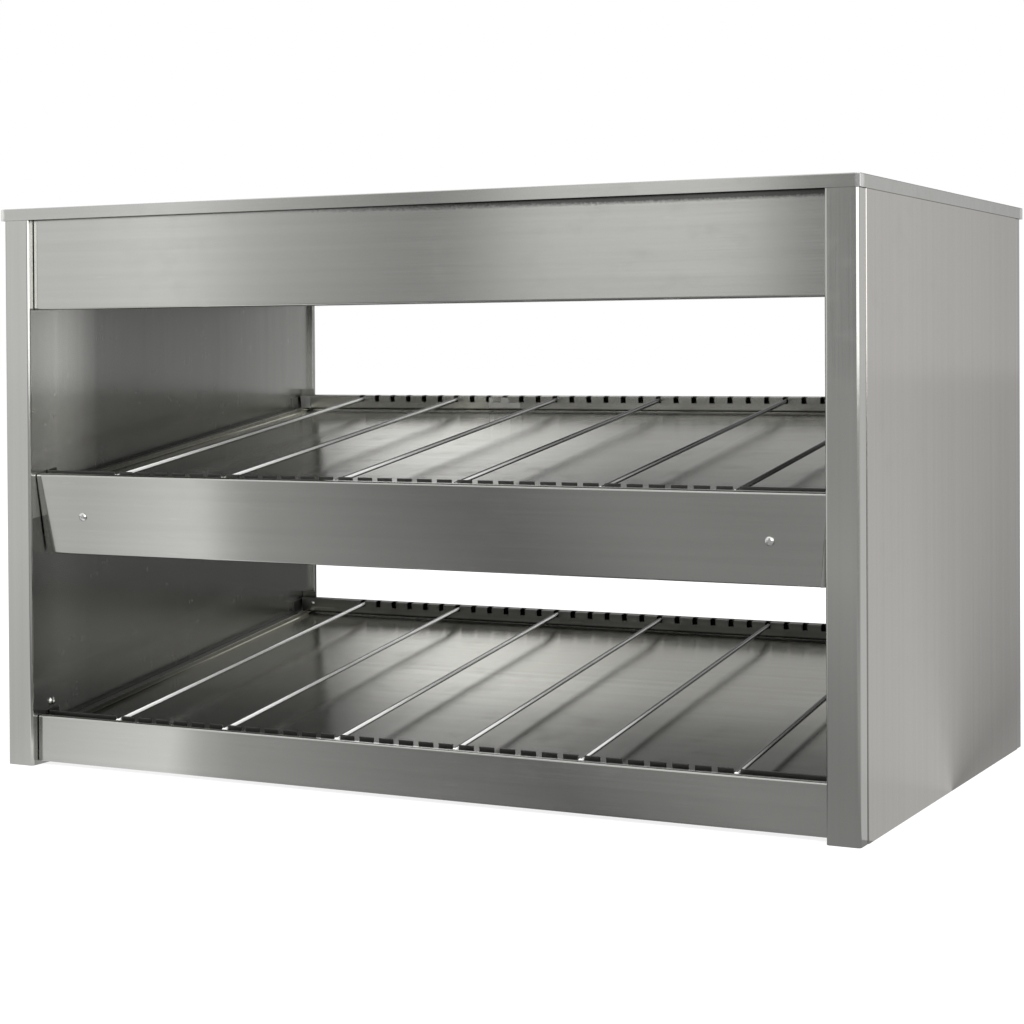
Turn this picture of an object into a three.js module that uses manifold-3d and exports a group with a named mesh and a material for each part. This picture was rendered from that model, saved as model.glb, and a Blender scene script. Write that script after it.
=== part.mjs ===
// Two-tier heated display case in brushed stainless steel, open at the front and at the back.
// Each tier is a heated tray that slopes up to the back, with loose divider rods in notched rails.
// Millimetres. X runs to the right seen from the front, Y to the back and Z up.
// The origin is on the table, under the middle of the case.
import * as THREE from "three";
import { mergeVertices } from "three/addons/utils/BufferGeometryUtils.js";
import Module from "manifold-3d";

const wasm = await Module();
wasm.setup();

// Overall sizes
const caseWidth = 960;
const caseDepth = 570;
const caseHeight = 600;

// Clearances
const seatGap = 0.3; // between faces that rest on each other
const endGap = 1; // from a fascia's ends to the inner walls
const cutOver = 6; // how far a cutter runs past what it cuts
const weldTolerance = 1e-4; // vertices closer than this are one

// Top cover
const coverOverhang = 2.5;
const coverLip = 12.5;
const coverSheet = 1.2;
const coverEdgeRadius = 1;

// Side housings
const housingSheet = 1.2;
const housingBend = 2;
const postBend = 2.4;
const frontPostWidth = 32.5;
const rearPostWidth = 38;
const rearPostDepth = 7.5;
const postReturn = 19;
const joggleRun = 1.5;
const joggleBend = 0.8;
const lapDepth = 22;
const sidePanelSheet = 1.2;
const sidePanelProud = 0.8;
const sidePanelGap = 1.5;
const sidePanelEdge = 1.1; // its outer corner, rounded
const channelHeight = 16;
const channelSheet = 1.5;
const insulationThickness = 19;
const insulationMargin = 42;

// Fascias and panels between the housings
const fasciaSheet = 1.2;
const fasciaBend = 1.6;
const flangeDepth = 12;
const fasciaReturn = 24;
const fasciaUpturn = 28;
const fasciaSetback = 8.5;
const panelSetback = 23.3; // from the rear face of the case to the panels at the back
const canopyHeight = 109;
const ceilingRise = 16;
const ceilingFlange = 10;
const floorClearance = 4;
const ventLength = 46;
const ventWidth = 4;
const ventSpacing = 70;
const ventRowSpacing = 210;
const ventColumns = 9;
const ventRows = 2;

// Overhead heaters
const slotMargin = 77.5; // from the inner walls
const slotDepth = 62;
const reflectorSheet = 0.8;
const reflectorBend = 1.2;
const reflectorDepth = 26;
const reflectorCrown = 30;
const reflectorFlange = 7;
const elementDiameter = 8;
const elementInset = 18;
const elementTail = 8;
const elementBend = 14;

// Tiers: each one is laid out from the line where its rods cross its front rail
const tierSlope = THREE.MathUtils.degToRad(8);
const railSetback = 28;
const upperTierHeight = 313;
const lowerTierHeight = 52;
const ledgeRise = 3.5;
const ledgeDepth = 9.5;
const ledgeDrop = 14;
const shelfFasciaSetback = 18;
const shelfFasciaHeight = 87;
const earWidth = 10.5; // the bent-back triangle at each end, at its foot
const earStep = 0.1;
const earAngle = THREE.MathUtils.degToRad(20);
const plateSheet = 2;
const plateBend = 2.2;
const plateDrop = 14.5;
const plateLip = 6;
const plateSideGap = 12;
const bracketSheet = 1.5;
const bracketDrop = 20;
const bracketLedge = 26;
const bracketMargin = 12;

// Notched rails and divider rods
const rodDiameter = 5;
const rodChamfer = 0.8;
const rodFrontEnd = 5;
const rodRearEnd = 4; // past the front wall of the rear rail
const railSheet = 1.5;
const railHeight = 17.5;
const railTab = 16;
const railDepth = 10; // of the rear rail, a channel open below
const railBend = 1.2;
const railEndSlot = 3.5; // between its wall and the side of the case
const railEarWidth = 19.5;
const railEarRise = 7;
const notchWidth = 6.5;
const notchDepth = 7.5;
const notchPitch = 22.75;
const notchCount = 32;
const upperRodNotches = [0, 6, 12, 18, 25, 31];
const lowerRodNotches = [0, 6, 12, 18, 24, 31];

// Element under each plate: runs of tube joined by half-round turns
const runCount = 4;
const runSpacing = 130;
const runMargin = 48;

// Dome-head screws
const screwHeadRadius = 4.7;
const screwHeadHeight = 2.6;
const screwShankRadius = 2.4;
const screwShankLength = 7;
const fasciaScrewInset = 58;
const fasciaScrewDrop = 45;
const wallScrewDepth = 33;
const wallScrewHeight = 66;

// Rear control panel
const controlHeight = 58;
const glandInset = 29.5; // in from the right inner wall
const switchSpacing = 46; // from the gland, and so on inwards along the row
const lampSpacing = 54;
const knobSpacing = 50;
const groupSpacing = 60;
const glandHeight = 30;
const knobRadius = 17;
const knobTopRadius = 14.5;
const knobHeight = 13;
const knobStandOff = 1.2;
const knobRibWidth = 5;
const knobRibHeight = 2.4;
const shaftRadius = 3;
const shaftLength = 10;
const thermostatSize = 36;
const thermostatDepth = 22;
const lampBodyRadius = 5.5;
const lampFlangeRadius = 7.5;
const lampFlange = 1.6;
const lampLensRadius = 5;
const lampBodyDepth = 20;
const switchBodyWidth = 22;
const switchBodyHeight = 30;
const switchBodyDepth = 20;
const switchRim = 2;
const switchRimHeight = 1.8;
const switchWall = 1.5;
const pocketDepth = 13;
const rockerTilt = THREE.MathUtils.degToRad(10);
const rockerCrown = 4.5;
const rockerRise = 1.5;
const rockerRootDepth = 3;
const rockerRootInset = 3.5;
const rockerPivotDepth = 5;
const rockerSideGap = 0.4;
const rockerSwingRoom = 1.2;
const glandBoreRadius = 5;
const glandThreadRadius = 9.5;
const glandNutRadius = 13;
const glandNutHeight = 5;
const glandHexHeight = 7;
const glandDomeRadius = 8;
const glandDomeHeight = 9;
const glandTail = 12;
const terminalPitch = 14;
const terminalCount = 5;
const terminalDepth = 30;
const terminalHeight = 22;
const terminalSlot = 1.5;
const terminalHoleRadius = 3;
const terminalInset = 147.5;
const terminalSetback = 80;

// Facets
const bendSteps = 4;
const railBendSteps = 2;
const roundSides = 24;
const rodSides = 12;
const tubeSides = 8;
const hexSides = 6;
const domeSteps = 5;
const tubeBendSteps = 5;
const coverEdgeSteps = 3;

// Places worked out from the sizes
const canopyBottom = caseHeight - canopyHeight;
const frontY = -caseDepth / 2;
const rearY = caseDepth / 2;
const innerHalf = caseWidth / 2 - frontPostWidth;
const slotHalf = innerHalf - slotMargin;
const glandX = innerHalf - glandInset;
const switchX = glandX - switchSpacing;
const upperLampX = switchX - lampSpacing;
const upperKnobX = upperLampX - knobSpacing;
const lowerLampX = upperKnobX - groupSpacing;
const lowerKnobX = lowerLampX - knobSpacing;
const terminalX = innerHalf - terminalInset;
const shoulderY = rearY - rearPostDepth;
const panelBackY = rearY - panelSetback;
const coverUnderside = caseHeight - coverSheet;
const housingTop = coverUnderside - seatGap;
const rodRadius = rodDiameter / 2;
const elementRadius = elementDiameter / 2;
const notchFloor = -rodRadius - seatGap;
const railTop = notchFloor + notchDepth;
const railBottom = railTop - railHeight;
const plateUnderside = -plateDrop - plateSheet;
const slopeSine = Math.sin(tierSlope);
const slopeCosine = Math.cos(tierSlope);
const tierFrontY = frontY + railSetback;
// The rear rail's back face, along the tier, where its lower edge is flush with the panels
const railBackY = (panelBackY - tierFrontY + railBottom * slopeSine) / slopeCosine;
const railFrontY = railBackY - railDepth;

// Materials
const brushedSteel = new THREE.MeshStandardMaterial({ color: 0xa6a69f, roughness: 0.36, metalness: 1 });
const innerSteel = new THREE.MeshStandardMaterial({ color: 0x84847d, roughness: 0.3, metalness: 1 });
const plateSteel = new THREE.MeshStandardMaterial({ color: 0x8f8f86, roughness: 0.16, metalness: 1 });
const brightSteel = new THREE.MeshStandardMaterial({ color: 0xd2d2cc, roughness: 0.12, metalness: 1 });
const elementSteel = new THREE.MeshStandardMaterial({ color: 0x55534d, roughness: 0.5, metalness: 1 });
const woolGrey = new THREE.MeshStandardMaterial({ color: 0xb9b39c, roughness: 0.95, metalness: 0 });
const blackPlastic = new THREE.MeshStandardMaterial({ color: 0x161616, roughness: 0.45, metalness: 0 });
const whitePlastic = new THREE.MeshStandardMaterial({ color: 0xd9d6cc, roughness: 0.5, metalness: 0 });
const lampAmber = new THREE.MeshStandardMaterial({ color: 0xd0661a, roughness: 0.2, metalness: 0 });

// Solids: three.js geometry to manifold and back
function toSolid(geometry) {
  const bare = new THREE.BufferGeometry();
  bare.setAttribute("position", geometry.getAttribute("position").clone());
  if (geometry.index) bare.setIndex(geometry.index.clone());
  const merged = mergeVertices(bare, weldTolerance);
  const mesh = new wasm.Mesh({
    numProp: 3,
    vertProperties: merged.getAttribute("position").array,
    triVerts: new Uint32Array(merged.index.array),
  });
  return new wasm.Manifold(mesh);
}

function toGeometry(solid) {
  const mesh = solid.getMesh();
  const geometry = new THREE.BufferGeometry();
  geometry.setAttribute("position", new THREE.BufferAttribute(mesh.vertProperties, 3));
  geometry.setIndex(new THREE.BufferAttribute(mesh.triVerts, 1));
  geometry.computeVertexNormals();
  return geometry;
}

function cut(geometry, ...cutters) {
  const rest = cutters.reduce((solid, cutter) => solid.subtract(toSolid(cutter)), toSolid(geometry));
  return toGeometry(rest);
}

function join(geometry, ...others) {
  const whole = others.reduce((solid, other) => solid.add(toSolid(other)), toSolid(geometry));
  return toGeometry(whole);
}

// Extrusions: an outline is drawn in the two axes across its length.
const axisX = new THREE.Vector3(1, 0, 0);
const axisY = new THREE.Vector3(0, 1, 0);
const axisZ = new THREE.Vector3(0, 0, 1);
const lengthwise = {
  x: new THREE.Matrix4().makeBasis(axisY, axisZ, axisX),
  y: new THREE.Matrix4().makeBasis(axisX, axisZ, axisY.clone().negate()),
  z: new THREE.Matrix4(),
};

function extrude(axis, outline, from, to) {
  const shape = outline.isShape ? outline : new THREE.Shape(outline.map(([u, v]) => new THREE.Vector2(u, v)));
  const geometry = new THREE.ExtrudeGeometry(shape, { depth: to - from, bevelEnabled: false });
  geometry.applyMatrix4(lengthwise[axis]);
  if (axis === "x") return geometry.translate(from, 0, 0);
  if (axis === "y") return geometry.translate(0, to, 0);
  return geometry.translate(0, 0, from);
}

function block(x0, x1, y0, y1, z0, z1) {
  const geometry = new THREE.BoxGeometry(x1 - x0, y1 - y0, z1 - z0);
  return geometry.translate((x0 + x1) / 2, (y0 + y1) / 2, (z0 + z1) / 2);
}

// The outline of a folded sheet, from its middle line: a list of [u, v] corners, each bent round.
// A corner may bring its own bend radius, as [u, v, radius].
function foldedSheet(corners, thickness, sheetBend, steps = bendSteps) {
  const half = thickness / 2;
  const points = corners.map(([u, v]) => new THREE.Vector2(u, v));
  const left = [];
  const right = [];
  const lay = (middle, normal) => {
    left.push(middle.clone().addScaledVector(normal, half));
    right.push(middle.clone().addScaledVector(normal, -half));
  };
  const heading = (i) => points[i + 1].clone().sub(points[i]).normalize();
  const leftOf = (direction) => new THREE.Vector2(-direction.y, direction.x);
  lay(points[0], leftOf(heading(0)));
  for (let i = 1; i < points.length - 1; i++) {
    const before = heading(i - 1);
    const after = heading(i);
    const turn = Math.atan2(before.cross(after), before.dot(after));
    const side = Math.sign(turn);
    const bendRadius = corners[i][2] ?? sheetBend;
    const tangent = bendRadius * Math.tan(Math.abs(turn) / 2);
    const start = points[i].clone().addScaledVector(before, -tangent);
    const centre = start.clone().addScaledVector(leftOf(before), side * bendRadius);
    for (let k = 0; k <= steps; k++) {
      const onBend = start.clone().rotateAround(centre, (turn * k) / steps);
      const outward = onBend.clone().sub(centre).normalize();
      lay(onBend, outward.multiplyScalar(-side));
    }
  }
  lay(points[points.length - 1], leftOf(heading(points.length - 2)));
  return [...left, ...right.reverse()].map((p) => [p.x, p.y]);
}

// A solid of revolution about Y from [radius, height] pairs that start and end on the axis.
function revolve(profile, sides = roundSides) {
  const points = profile.map(([radius, height]) => new THREE.Vector2(radius, height));
  return new THREE.LatheGeometry(points, sides);
}

// A round bar along Y, used as a drill.
function drill(radius, y0, y1) {
  return revolve([
    [0, y0],
    [radius, y0],
    [radius, y1],
    [0, y1],
  ]);
}

// A round tube along square corners, each bent round. A straight run takes one step.
function bentTube(corners, radius, bendRadius) {
  const points = [];
  const headings = [];
  const lay = (point, heading) => {
    const isRepeated = points.length > 0 && points[points.length - 1].distanceTo(point) < seatGap;
    if (isRepeated) return;
    points.push(point);
    headings.push(heading);
  };
  const headingFrom = (i) => corners[i + 1].clone().sub(corners[i]).normalize();
  lay(corners[0], headingFrom(0));
  for (let i = 1; i < corners.length - 1; i++) {
    const before = headingFrom(i - 1);
    const hinge = before.clone().cross(headingFrom(i)).normalize();
    const start = corners[i].clone().addScaledVector(before, -bendRadius);
    const centre = start.clone().addScaledVector(hinge.clone().cross(before), bendRadius);
    for (let k = 0; k <= tubeBendSteps; k++) {
      const angle = (Math.PI / 2) * (k / tubeBendSteps);
      const onBend = start.clone().sub(centre).applyAxisAngle(hinge, angle).add(centre);
      lay(onBend, before.clone().applyAxisAngle(hinge, angle));
    }
  }
  lay(corners[corners.length - 1], headingFrom(corners.length - 2));

  const steps = points.length - 1;
  const path = new THREE.Curve();
  path.getPointAt = (u) => points[Math.round(u * steps)].clone();
  path.getTangentAt = (u, target) => target.copy(headings[Math.round(u * steps)]);
  const section = new THREE.Shape();
  for (let i = 0; i < tubeSides; i++) {
    const angle = (2 * Math.PI * i) / tubeSides;
    const u = radius * Math.cos(angle);
    const v = radius * Math.sin(angle);
    if (i === 0) section.moveTo(u, v);
    else section.lineTo(u, v);
  }
  return new THREE.ExtrudeGeometry(section, { extrudePath: path, steps, bevelEnabled: false });
}

function addPiece(parent, name, geometry, material) {
  const mesh = new THREE.Mesh(geometry, material);
  mesh.name = name;
  parent.add(mesh);
  return mesh;
}

// Where a point of a tier, given along and square to its slope, lies in the case.
function tierToCaseY(along, square) {
  return tierFrontY + along * slopeCosine - square * slopeSine;
}

function tierToCaseZ(tierHeight, along, square) {
  return tierHeight + along * slopeSine + square * slopeCosine;
}

// A dome-head screw along Y, its head towards the front and its seat at 0.
function domeScrew() {
  const profile = [];
  for (let k = 0; k <= domeSteps; k++) {
    const angle = (Math.PI / 2) * (k / domeSteps);
    profile.push([screwHeadRadius * Math.sin(angle), -screwHeadHeight * Math.cos(angle)]);
  }
  profile.push([screwShankRadius, 0], [screwShankRadius, screwShankLength], [0, screwShankLength]);
  return revolve(profile, rodSides);
}

// One side housing: folded inner skin, outer panel, base channel and insulation.
function addHousing(parent, side, name) {
  const half = housingSheet / 2;
  const lapInset = sidePanelSheet - sidePanelProud + seatGap + half;
  const lapFront = frontY + postReturn;
  const lapRear = rearY - postReturn;
  const atX = (inset) => side * (caseWidth / 2 - inset);
  const line = [
    [lapInset, lapFront + joggleRun + lapDepth],
    [lapInset, lapFront + joggleRun],
    [half, lapFront],
    [half, frontY + half, postBend],
    [frontPostWidth - half, frontY + half, postBend],
    [frontPostWidth - half, shoulderY + half],
    [rearPostWidth - half, shoulderY + half],
    [rearPostWidth - half, rearY - half, postBend],
    [half, rearY - half, postBend],
    [half, lapRear],
    [lapInset, lapRear - joggleRun],
    [lapInset, lapRear - joggleRun - lapDepth],
  ];
  const middle = line.map(([inset, y, radius]) => [atX(inset), y, radius]);
  const skin = extrude("z", foldedSheet(middle, housingSheet, joggleBend), 0, housingTop);
  const screwDrill = drill(screwShankRadius + seatGap, -cutOver, cutOver);
  screwDrill.rotateZ(Math.PI / 2);
  screwDrill.translate(side * innerHalf, frontY + wallScrewDepth, wallScrewHeight);
  addPiece(parent, name + "_side_frame", cut(skin, screwDrill), brushedSteel);

  const panelInner = sidePanelSheet - sidePanelProud;
  const panelY0 = lapFront + sidePanelGap;
  const panelY1 = lapRear - sidePanelGap;
  const edgeInset = sidePanelEdge - sidePanelProud;
  const panelOutline = new THREE.Shape();
  panelOutline.moveTo(panelInner, panelY0);
  panelOutline.lineTo(panelInner, panelY1);
  panelOutline.absarc(edgeInset, panelY1 - sidePanelEdge, sidePanelEdge, Math.PI / 2, Math.PI);
  panelOutline.absarc(edgeInset, panelY0 + sidePanelEdge, sidePanelEdge, Math.PI, (3 * Math.PI) / 2);
  const panelPoints = panelOutline.extractPoints(bendSteps).shape.map((p) => [atX(p.x), p.y]);
  addPiece(parent, name + "_side_panel", extrude("z", panelPoints, 0, housingTop), brushedSteel);

  const channelOuter = lapInset + half + seatGap + channelSheet / 2;
  const channelInner = frontPostWidth - housingSheet - seatGap - channelSheet / 2;
  const channelLine = [
    [atX(channelOuter), channelHeight],
    [atX(channelOuter), channelSheet / 2],
    [atX(channelInner), channelSheet / 2],
    [atX(channelInner), channelHeight],
  ];
  const channelEnd = housingSheet + postBend;
  const channelOutline = foldedSheet(channelLine, channelSheet, housingBend);
  const channel = extrude("y", channelOutline, frontY + channelEnd, rearY - channelEnd);
  addPiece(parent, name + "_base_channel", channel, innerSteel);

  const woolInner = channelInner - channelSheet / 2 - seatGap;
  const woolX0 = Math.min(atX(woolInner), atX(woolInner - insulationThickness));
  const wool = block(
    woolX0,
    woolX0 + insulationThickness,
    frontY + insulationMargin,
    rearY - insulationMargin,
    channelSheet + housingBend,
    housingTop - insulationMargin,
  );
  addPiece(parent, name + "_insulation", wool, woolGrey);

  const wallScrew = addPiece(parent, name + "_wall_screw", domeScrew(), brightSteel);
  wallScrew.rotation.z = side > 0 ? -Math.PI / 2 : Math.PI / 2;
  const seatX = side * (innerHalf - seatGap);
  wallScrew.position.set(seatX, frontY + wallScrewDepth, wallScrewHeight);
}

// The top cover: a tray turned over the housings, its edges ground round.
function addTopCover(parent) {
  const halfWidth = caseWidth / 2 + coverOverhang;
  const halfDepth = caseDepth / 2 + coverOverhang;
  const r = coverEdgeRadius;
  const flatWidth = halfWidth - r;
  const flatDepth = halfDepth - r;
  const outline = new THREE.Shape([
    new THREE.Vector2(-flatWidth, -flatDepth),
    new THREE.Vector2(flatWidth, -flatDepth),
    new THREE.Vector2(flatWidth, flatDepth),
    new THREE.Vector2(-flatWidth, flatDepth),
  ]);
  const slab = new THREE.ExtrudeGeometry(outline, {
    depth: coverLip,
    bevelEnabled: true,
    bevelThickness: r,
    bevelSize: r,
    bevelSegments: coverEdgeSteps,
  });
  slab.translate(0, 0, caseHeight - r - coverLip);
  const lipBottom = caseHeight - coverLip;
  const below = block(
    -halfWidth - cutOver,
    halfWidth + cutOver,
    -halfDepth - cutOver,
    halfDepth + cutOver,
    lipBottom - 2 * cutOver,
    lipBottom,
  );
  const hollow = block(
    coverSheet - halfWidth,
    halfWidth - coverSheet,
    coverSheet - halfDepth,
    halfDepth - coverSheet,
    lipBottom - cutOver,
    coverUnderside,
  );
  addPiece(parent, "top_cover", cut(slab, below, hollow), brushedSteel);
}

// A ceiling with a slot for an overhead heater, its reflector and its tubular element.
// It runs from y0 to y1 with its lower face at z, in the frame of the group that holds it.
function addHeatedCeiling(parent, names, y0, y1, z) {
  const half = fasciaSheet / 2;
  const wide = innerHalf - seatGap;
  const middleY = (y0 + y1) / 2;
  const line = [
    [y0 + half, z + ceilingFlange],
    [y0 + half, z + half],
    [y1 - half, z + half],
    [y1 - half, z + ceilingFlange],
  ];
  const sheet = extrude("x", foldedSheet(line, fasciaSheet, fasciaBend), -wide, wide);
  const slot = block(
    -slotHalf,
    slotHalf,
    middleY - slotDepth / 2,
    middleY + slotDepth / 2,
    z - cutOver,
    z + cutOver,
  );
  addPiece(parent, names.ceiling, cut(sheet, slot), innerSteel);

  const flangeZ = z + fasciaSheet + seatGap + reflectorSheet / 2;
  const crownZ = flangeZ + reflectorDepth;
  const mouth = slotDepth / 2;
  const crown = reflectorCrown / 2;
  const troughLine = [
    [middleY - mouth - reflectorFlange, flangeZ],
    [middleY - mouth, flangeZ],
    [middleY - crown, crownZ],
    [middleY + crown, crownZ],
    [middleY + mouth, flangeZ],
    [middleY + mouth + reflectorFlange, flangeZ],
  ];
  const troughOutline = foldedSheet(troughLine, reflectorSheet, reflectorBend);
  const troughHalf = slotHalf;
  const trough = extrude("x", troughOutline, -troughHalf, troughHalf);
  const endOutline = troughLine.slice(1, troughLine.length - 1);
  const endPlates = [-1, 1].map((side) => {
    const outer = side * troughHalf;
    const inner = side * (troughHalf - reflectorSheet);
    return extrude("x", endOutline, Math.min(outer, inner), Math.max(outer, inner));
  });
  const legX = troughHalf - elementInset;
  const legHoles = [-1, 1].map((side) => {
    const hole = drill(elementRadius + seatGap, -cutOver, cutOver);
    hole.rotateX(Math.PI / 2);
    return hole.translate(side * legX, middleY, crownZ);
  });
  addPiece(parent, names.reflector, cut(join(trough, ...endPlates), ...legHoles), brightSteel);

  const barZ = z + fasciaSheet + seatGap + elementDiameter;
  const tailZ = crownZ + elementTail;
  const corners = [
    new THREE.Vector3(-legX, middleY, tailZ),
    new THREE.Vector3(-legX, middleY, barZ),
    new THREE.Vector3(legX, middleY, barZ),
    new THREE.Vector3(legX, middleY, tailZ),
  ];
  addPiece(parent, names.element, bentTube(corners, elementRadius, elementBend), elementSteel);
}

// The canopy: front fascia, rear fascia and heated ceiling, hung under the top cover.
function addCanopy(parent) {
  const half = fasciaSheet / 2;
  const faceY = frontY + fasciaSetback + half;
  const upturnY = faceY + fasciaReturn;
  const frontLine = [
    [faceY + flangeDepth, housingTop - half],
    [faceY, housingTop - half],
    [faceY, canopyBottom + half],
    [upturnY, canopyBottom + half],
    [upturnY, canopyBottom + fasciaUpturn],
  ];
  const frontHalf = innerHalf - endGap;
  const front = extrude("x", foldedSheet(frontLine, fasciaSheet, fasciaBend), -frontHalf, frontHalf);
  addPiece(parent, "canopy_front_fascia", front, brushedSteel);

  const backFaceY = panelBackY - half;
  const rearBottom = canopyBottom + ceilingRise - seatGap - half;
  const rearLine = [
    [backFaceY - flangeDepth, housingTop - half],
    [backFaceY, housingTop - half],
    [backFaceY, rearBottom],
    [backFaceY - flangeDepth, rearBottom],
  ];
  const back = extrude("x", foldedSheet(rearLine, fasciaSheet, fasciaBend), -frontHalf, frontHalf);
  addPiece(parent, "canopy_rear_fascia", back, brushedSteel);

  const names = {
    ceiling: "canopy_ceiling",
    reflector: "canopy_reflector",
    element: "canopy_heating_element",
  };
  const ceilingY0 = upturnY + half + seatGap;
  const ceilingY1 = backFaceY - half - seatGap;
  addHeatedCeiling(parent, names, ceilingY0, ceilingY1, canopyBottom + ceilingRise);
}

// Open notches for the rods, cut from y0 to y1 along the tier.
function notchCutters(y0, y1) {
  const cutters = [];
  for (let i = 0; i < notchCount; i++) {
    const x0 = notchX(i) - notchWidth / 2;
    cutters.push(block(x0, x0 + notchWidth, y0, y1, notchFloor, railTop + cutOver));
  }
  return cutters;
}

// The front rail: a notched strip with its ends turned back along the walls.
function frontRail() {
  const half = innerHalf - seatGap - railSheet / 2;
  const line = [
    [-half, railTab],
    [-half, 0],
    [half, 0],
    [half, railTab],
  ];
  const strip = extrude("z", foldedSheet(line, railSheet, housingBend), railBottom, railTop);
  return cut(strip, ...notchCutters(-cutOver, cutOver));
}

// The rear rail: a channel open below, notched through its front and top, with its back wall whole.
// At each end its back wall goes on past a slot to a tab along the wall, with an ear that rises there.
function rearRail() {
  const half = railSheet / 2;
  const line = [
    [railFrontY + half, railBottom],
    [railFrontY + half, railTop - half],
    [railBackY - half, railTop - half],
    [railBackY - half, railBottom],
  ];
  const wide = innerHalf - seatGap;
  const outline = foldedSheet(line, railSheet, railBend, railBendSteps);
  const insideY = railBackY - railSheet;
  const slots = [];
  const ends = [];
  for (const side of [-1, 1]) {
    const between = (from, to) => [side * (wide - from), side * (wide - to)].sort((a, b) => a - b);
    const slotFront = railFrontY - cutOver;
    slots.push(block(...between(-cutOver, railEndSlot), slotFront, insideY, railBottom, railTop + cutOver));
    const tabFront = railFrontY - railTab;
    ends.push(block(...between(0, railSheet), tabFront, railBackY - half, railBottom, railTop - railSheet));
    const earTop = railTop + railEarRise;
    ends.push(block(...between(0, railEarWidth), insideY, railBackY, notchFloor, earTop));
  }
  const body = cut(extrude("x", outline, -wide, wide), ...slots);
  return cut(join(body, ...ends), ...notchCutters(railFrontY - cutOver, insideY - railSheet));
}

function notchX(index) {
  return (index - (notchCount - 1) / 2) * notchPitch;
}

// A divider rod along Y with chamfered ends.
function dividerRod() {
  const y0 = -rodFrontEnd;
  const y1 = railFrontY + railSheet + rodRearEnd;
  return revolve(
    [
      [0, y0],
      [rodRadius - rodChamfer, y0],
      [rodRadius, y0 + rodChamfer],
      [rodRadius, y1 - rodChamfer],
      [rodRadius - rodChamfer, y1],
      [0, y1],
    ],
    rodSides,
  );
}

// The element under a plate: straight runs joined by half-round turns.
function plateElement() {
  const z = plateUnderside - seatGap - elementRadius;
  const reach = innerHalf - plateSideGap - runMargin;
  const firstY = (railBackY - runSpacing * (runCount - 1)) / 2;
  const corners = [];
  for (let run = 0; run < runCount; run++) {
    const y = firstY + run * runSpacing;
    const way = run % 2 === 0 ? 1 : -1;
    corners.push(new THREE.Vector3(-way * reach, y, z), new THREE.Vector3(way * reach, y, z));
  }
  return bentTube(corners, elementRadius, runSpacing / 2);
}

// What both tiers have: heated plate, element, rails, side brackets and rods.
function addTier(parent, name, tierHeight, rodNotches) {
  const tier = new THREE.Group();
  tier.position.set(0, tierFrontY, tierHeight);
  tier.rotation.x = tierSlope;
  parent.add(tier);

  const plateHalf = innerHalf - plateSideGap - plateSheet / 2;
  const plateMiddle = -plateDrop - plateSheet / 2;
  const plateLine = [
    [-plateHalf, plateMiddle + plateLip],
    [-plateHalf, plateMiddle],
    [plateHalf, plateMiddle],
    [plateHalf, plateMiddle + plateLip],
  ];
  const plateFront = railSheet;
  const plateEnd = railBackY - plateSheet;
  const plateSolid = extrude("y", foldedSheet(plateLine, plateSheet, plateBend), plateFront, plateEnd);
  const railRelief = block(
    -innerHalf,
    innerHalf,
    railFrontY - railSheet,
    railBackY + cutOver,
    railBottom - seatGap,
    railTop + cutOver,
  );
  addPiece(tier, name + "_shelf_plate", cut(plateSolid, railRelief), plateSteel);
  addPiece(tier, name + "_plate_element", plateElement(), elementSteel);

  addPiece(tier, name + "_front_rail", frontRail(), innerSteel);
  addPiece(tier, name + "_rear_rail", rearRail(), innerSteel);

  const bracketTop = plateUnderside - seatGap - bracketSheet / 2;
  for (const side of [-1, 1]) {
    const wallX = side * (innerHalf - seatGap - bracketSheet / 2);
    const line = [
      [wallX, bracketTop - bracketDrop],
      [wallX, bracketTop],
      [wallX - side * bracketLedge, bracketTop],
    ];
    const outline = foldedSheet(line, bracketSheet, housingBend);
    const bracketEnd = railBackY - flangeDepth - bracketMargin;
    const solid = extrude("y", outline, bracketMargin, bracketEnd);
    const sideName = side < 0 ? "left" : "right";
    addPiece(tier, name + "_" + sideName + "_bracket", solid, innerSteel);
  }

  rodNotches.forEach((notch, i) => {
    const rod = addPiece(tier, name + "_divider_rod_" + (i + 1), dividerRod(), brightSteel);
    rod.position.x = notchX(notch);
  });
  return tier;
}

// A tier's ledge fascia: the ledge behind its top edge, its face and a turned bottom edge.
function ledgeFascia(faceY, topZ, bottomZ, withUpturn) {
  const half = fasciaSheet / 2;
  const line = [
    [faceY + ledgeDepth, topZ - ledgeDrop],
    [faceY + ledgeDepth, topZ - half],
    [faceY + half, topZ - half],
    [faceY + half, bottomZ + half],
    [faceY + fasciaReturn, bottomZ + half],
  ];
  if (withUpturn) line.push([faceY + fasciaReturn, bottomZ + fasciaUpturn]);
  const wide = innerHalf - endGap;
  return extrude("x", foldedSheet(line, fasciaSheet, fasciaBend), -wide, wide);
}

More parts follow.
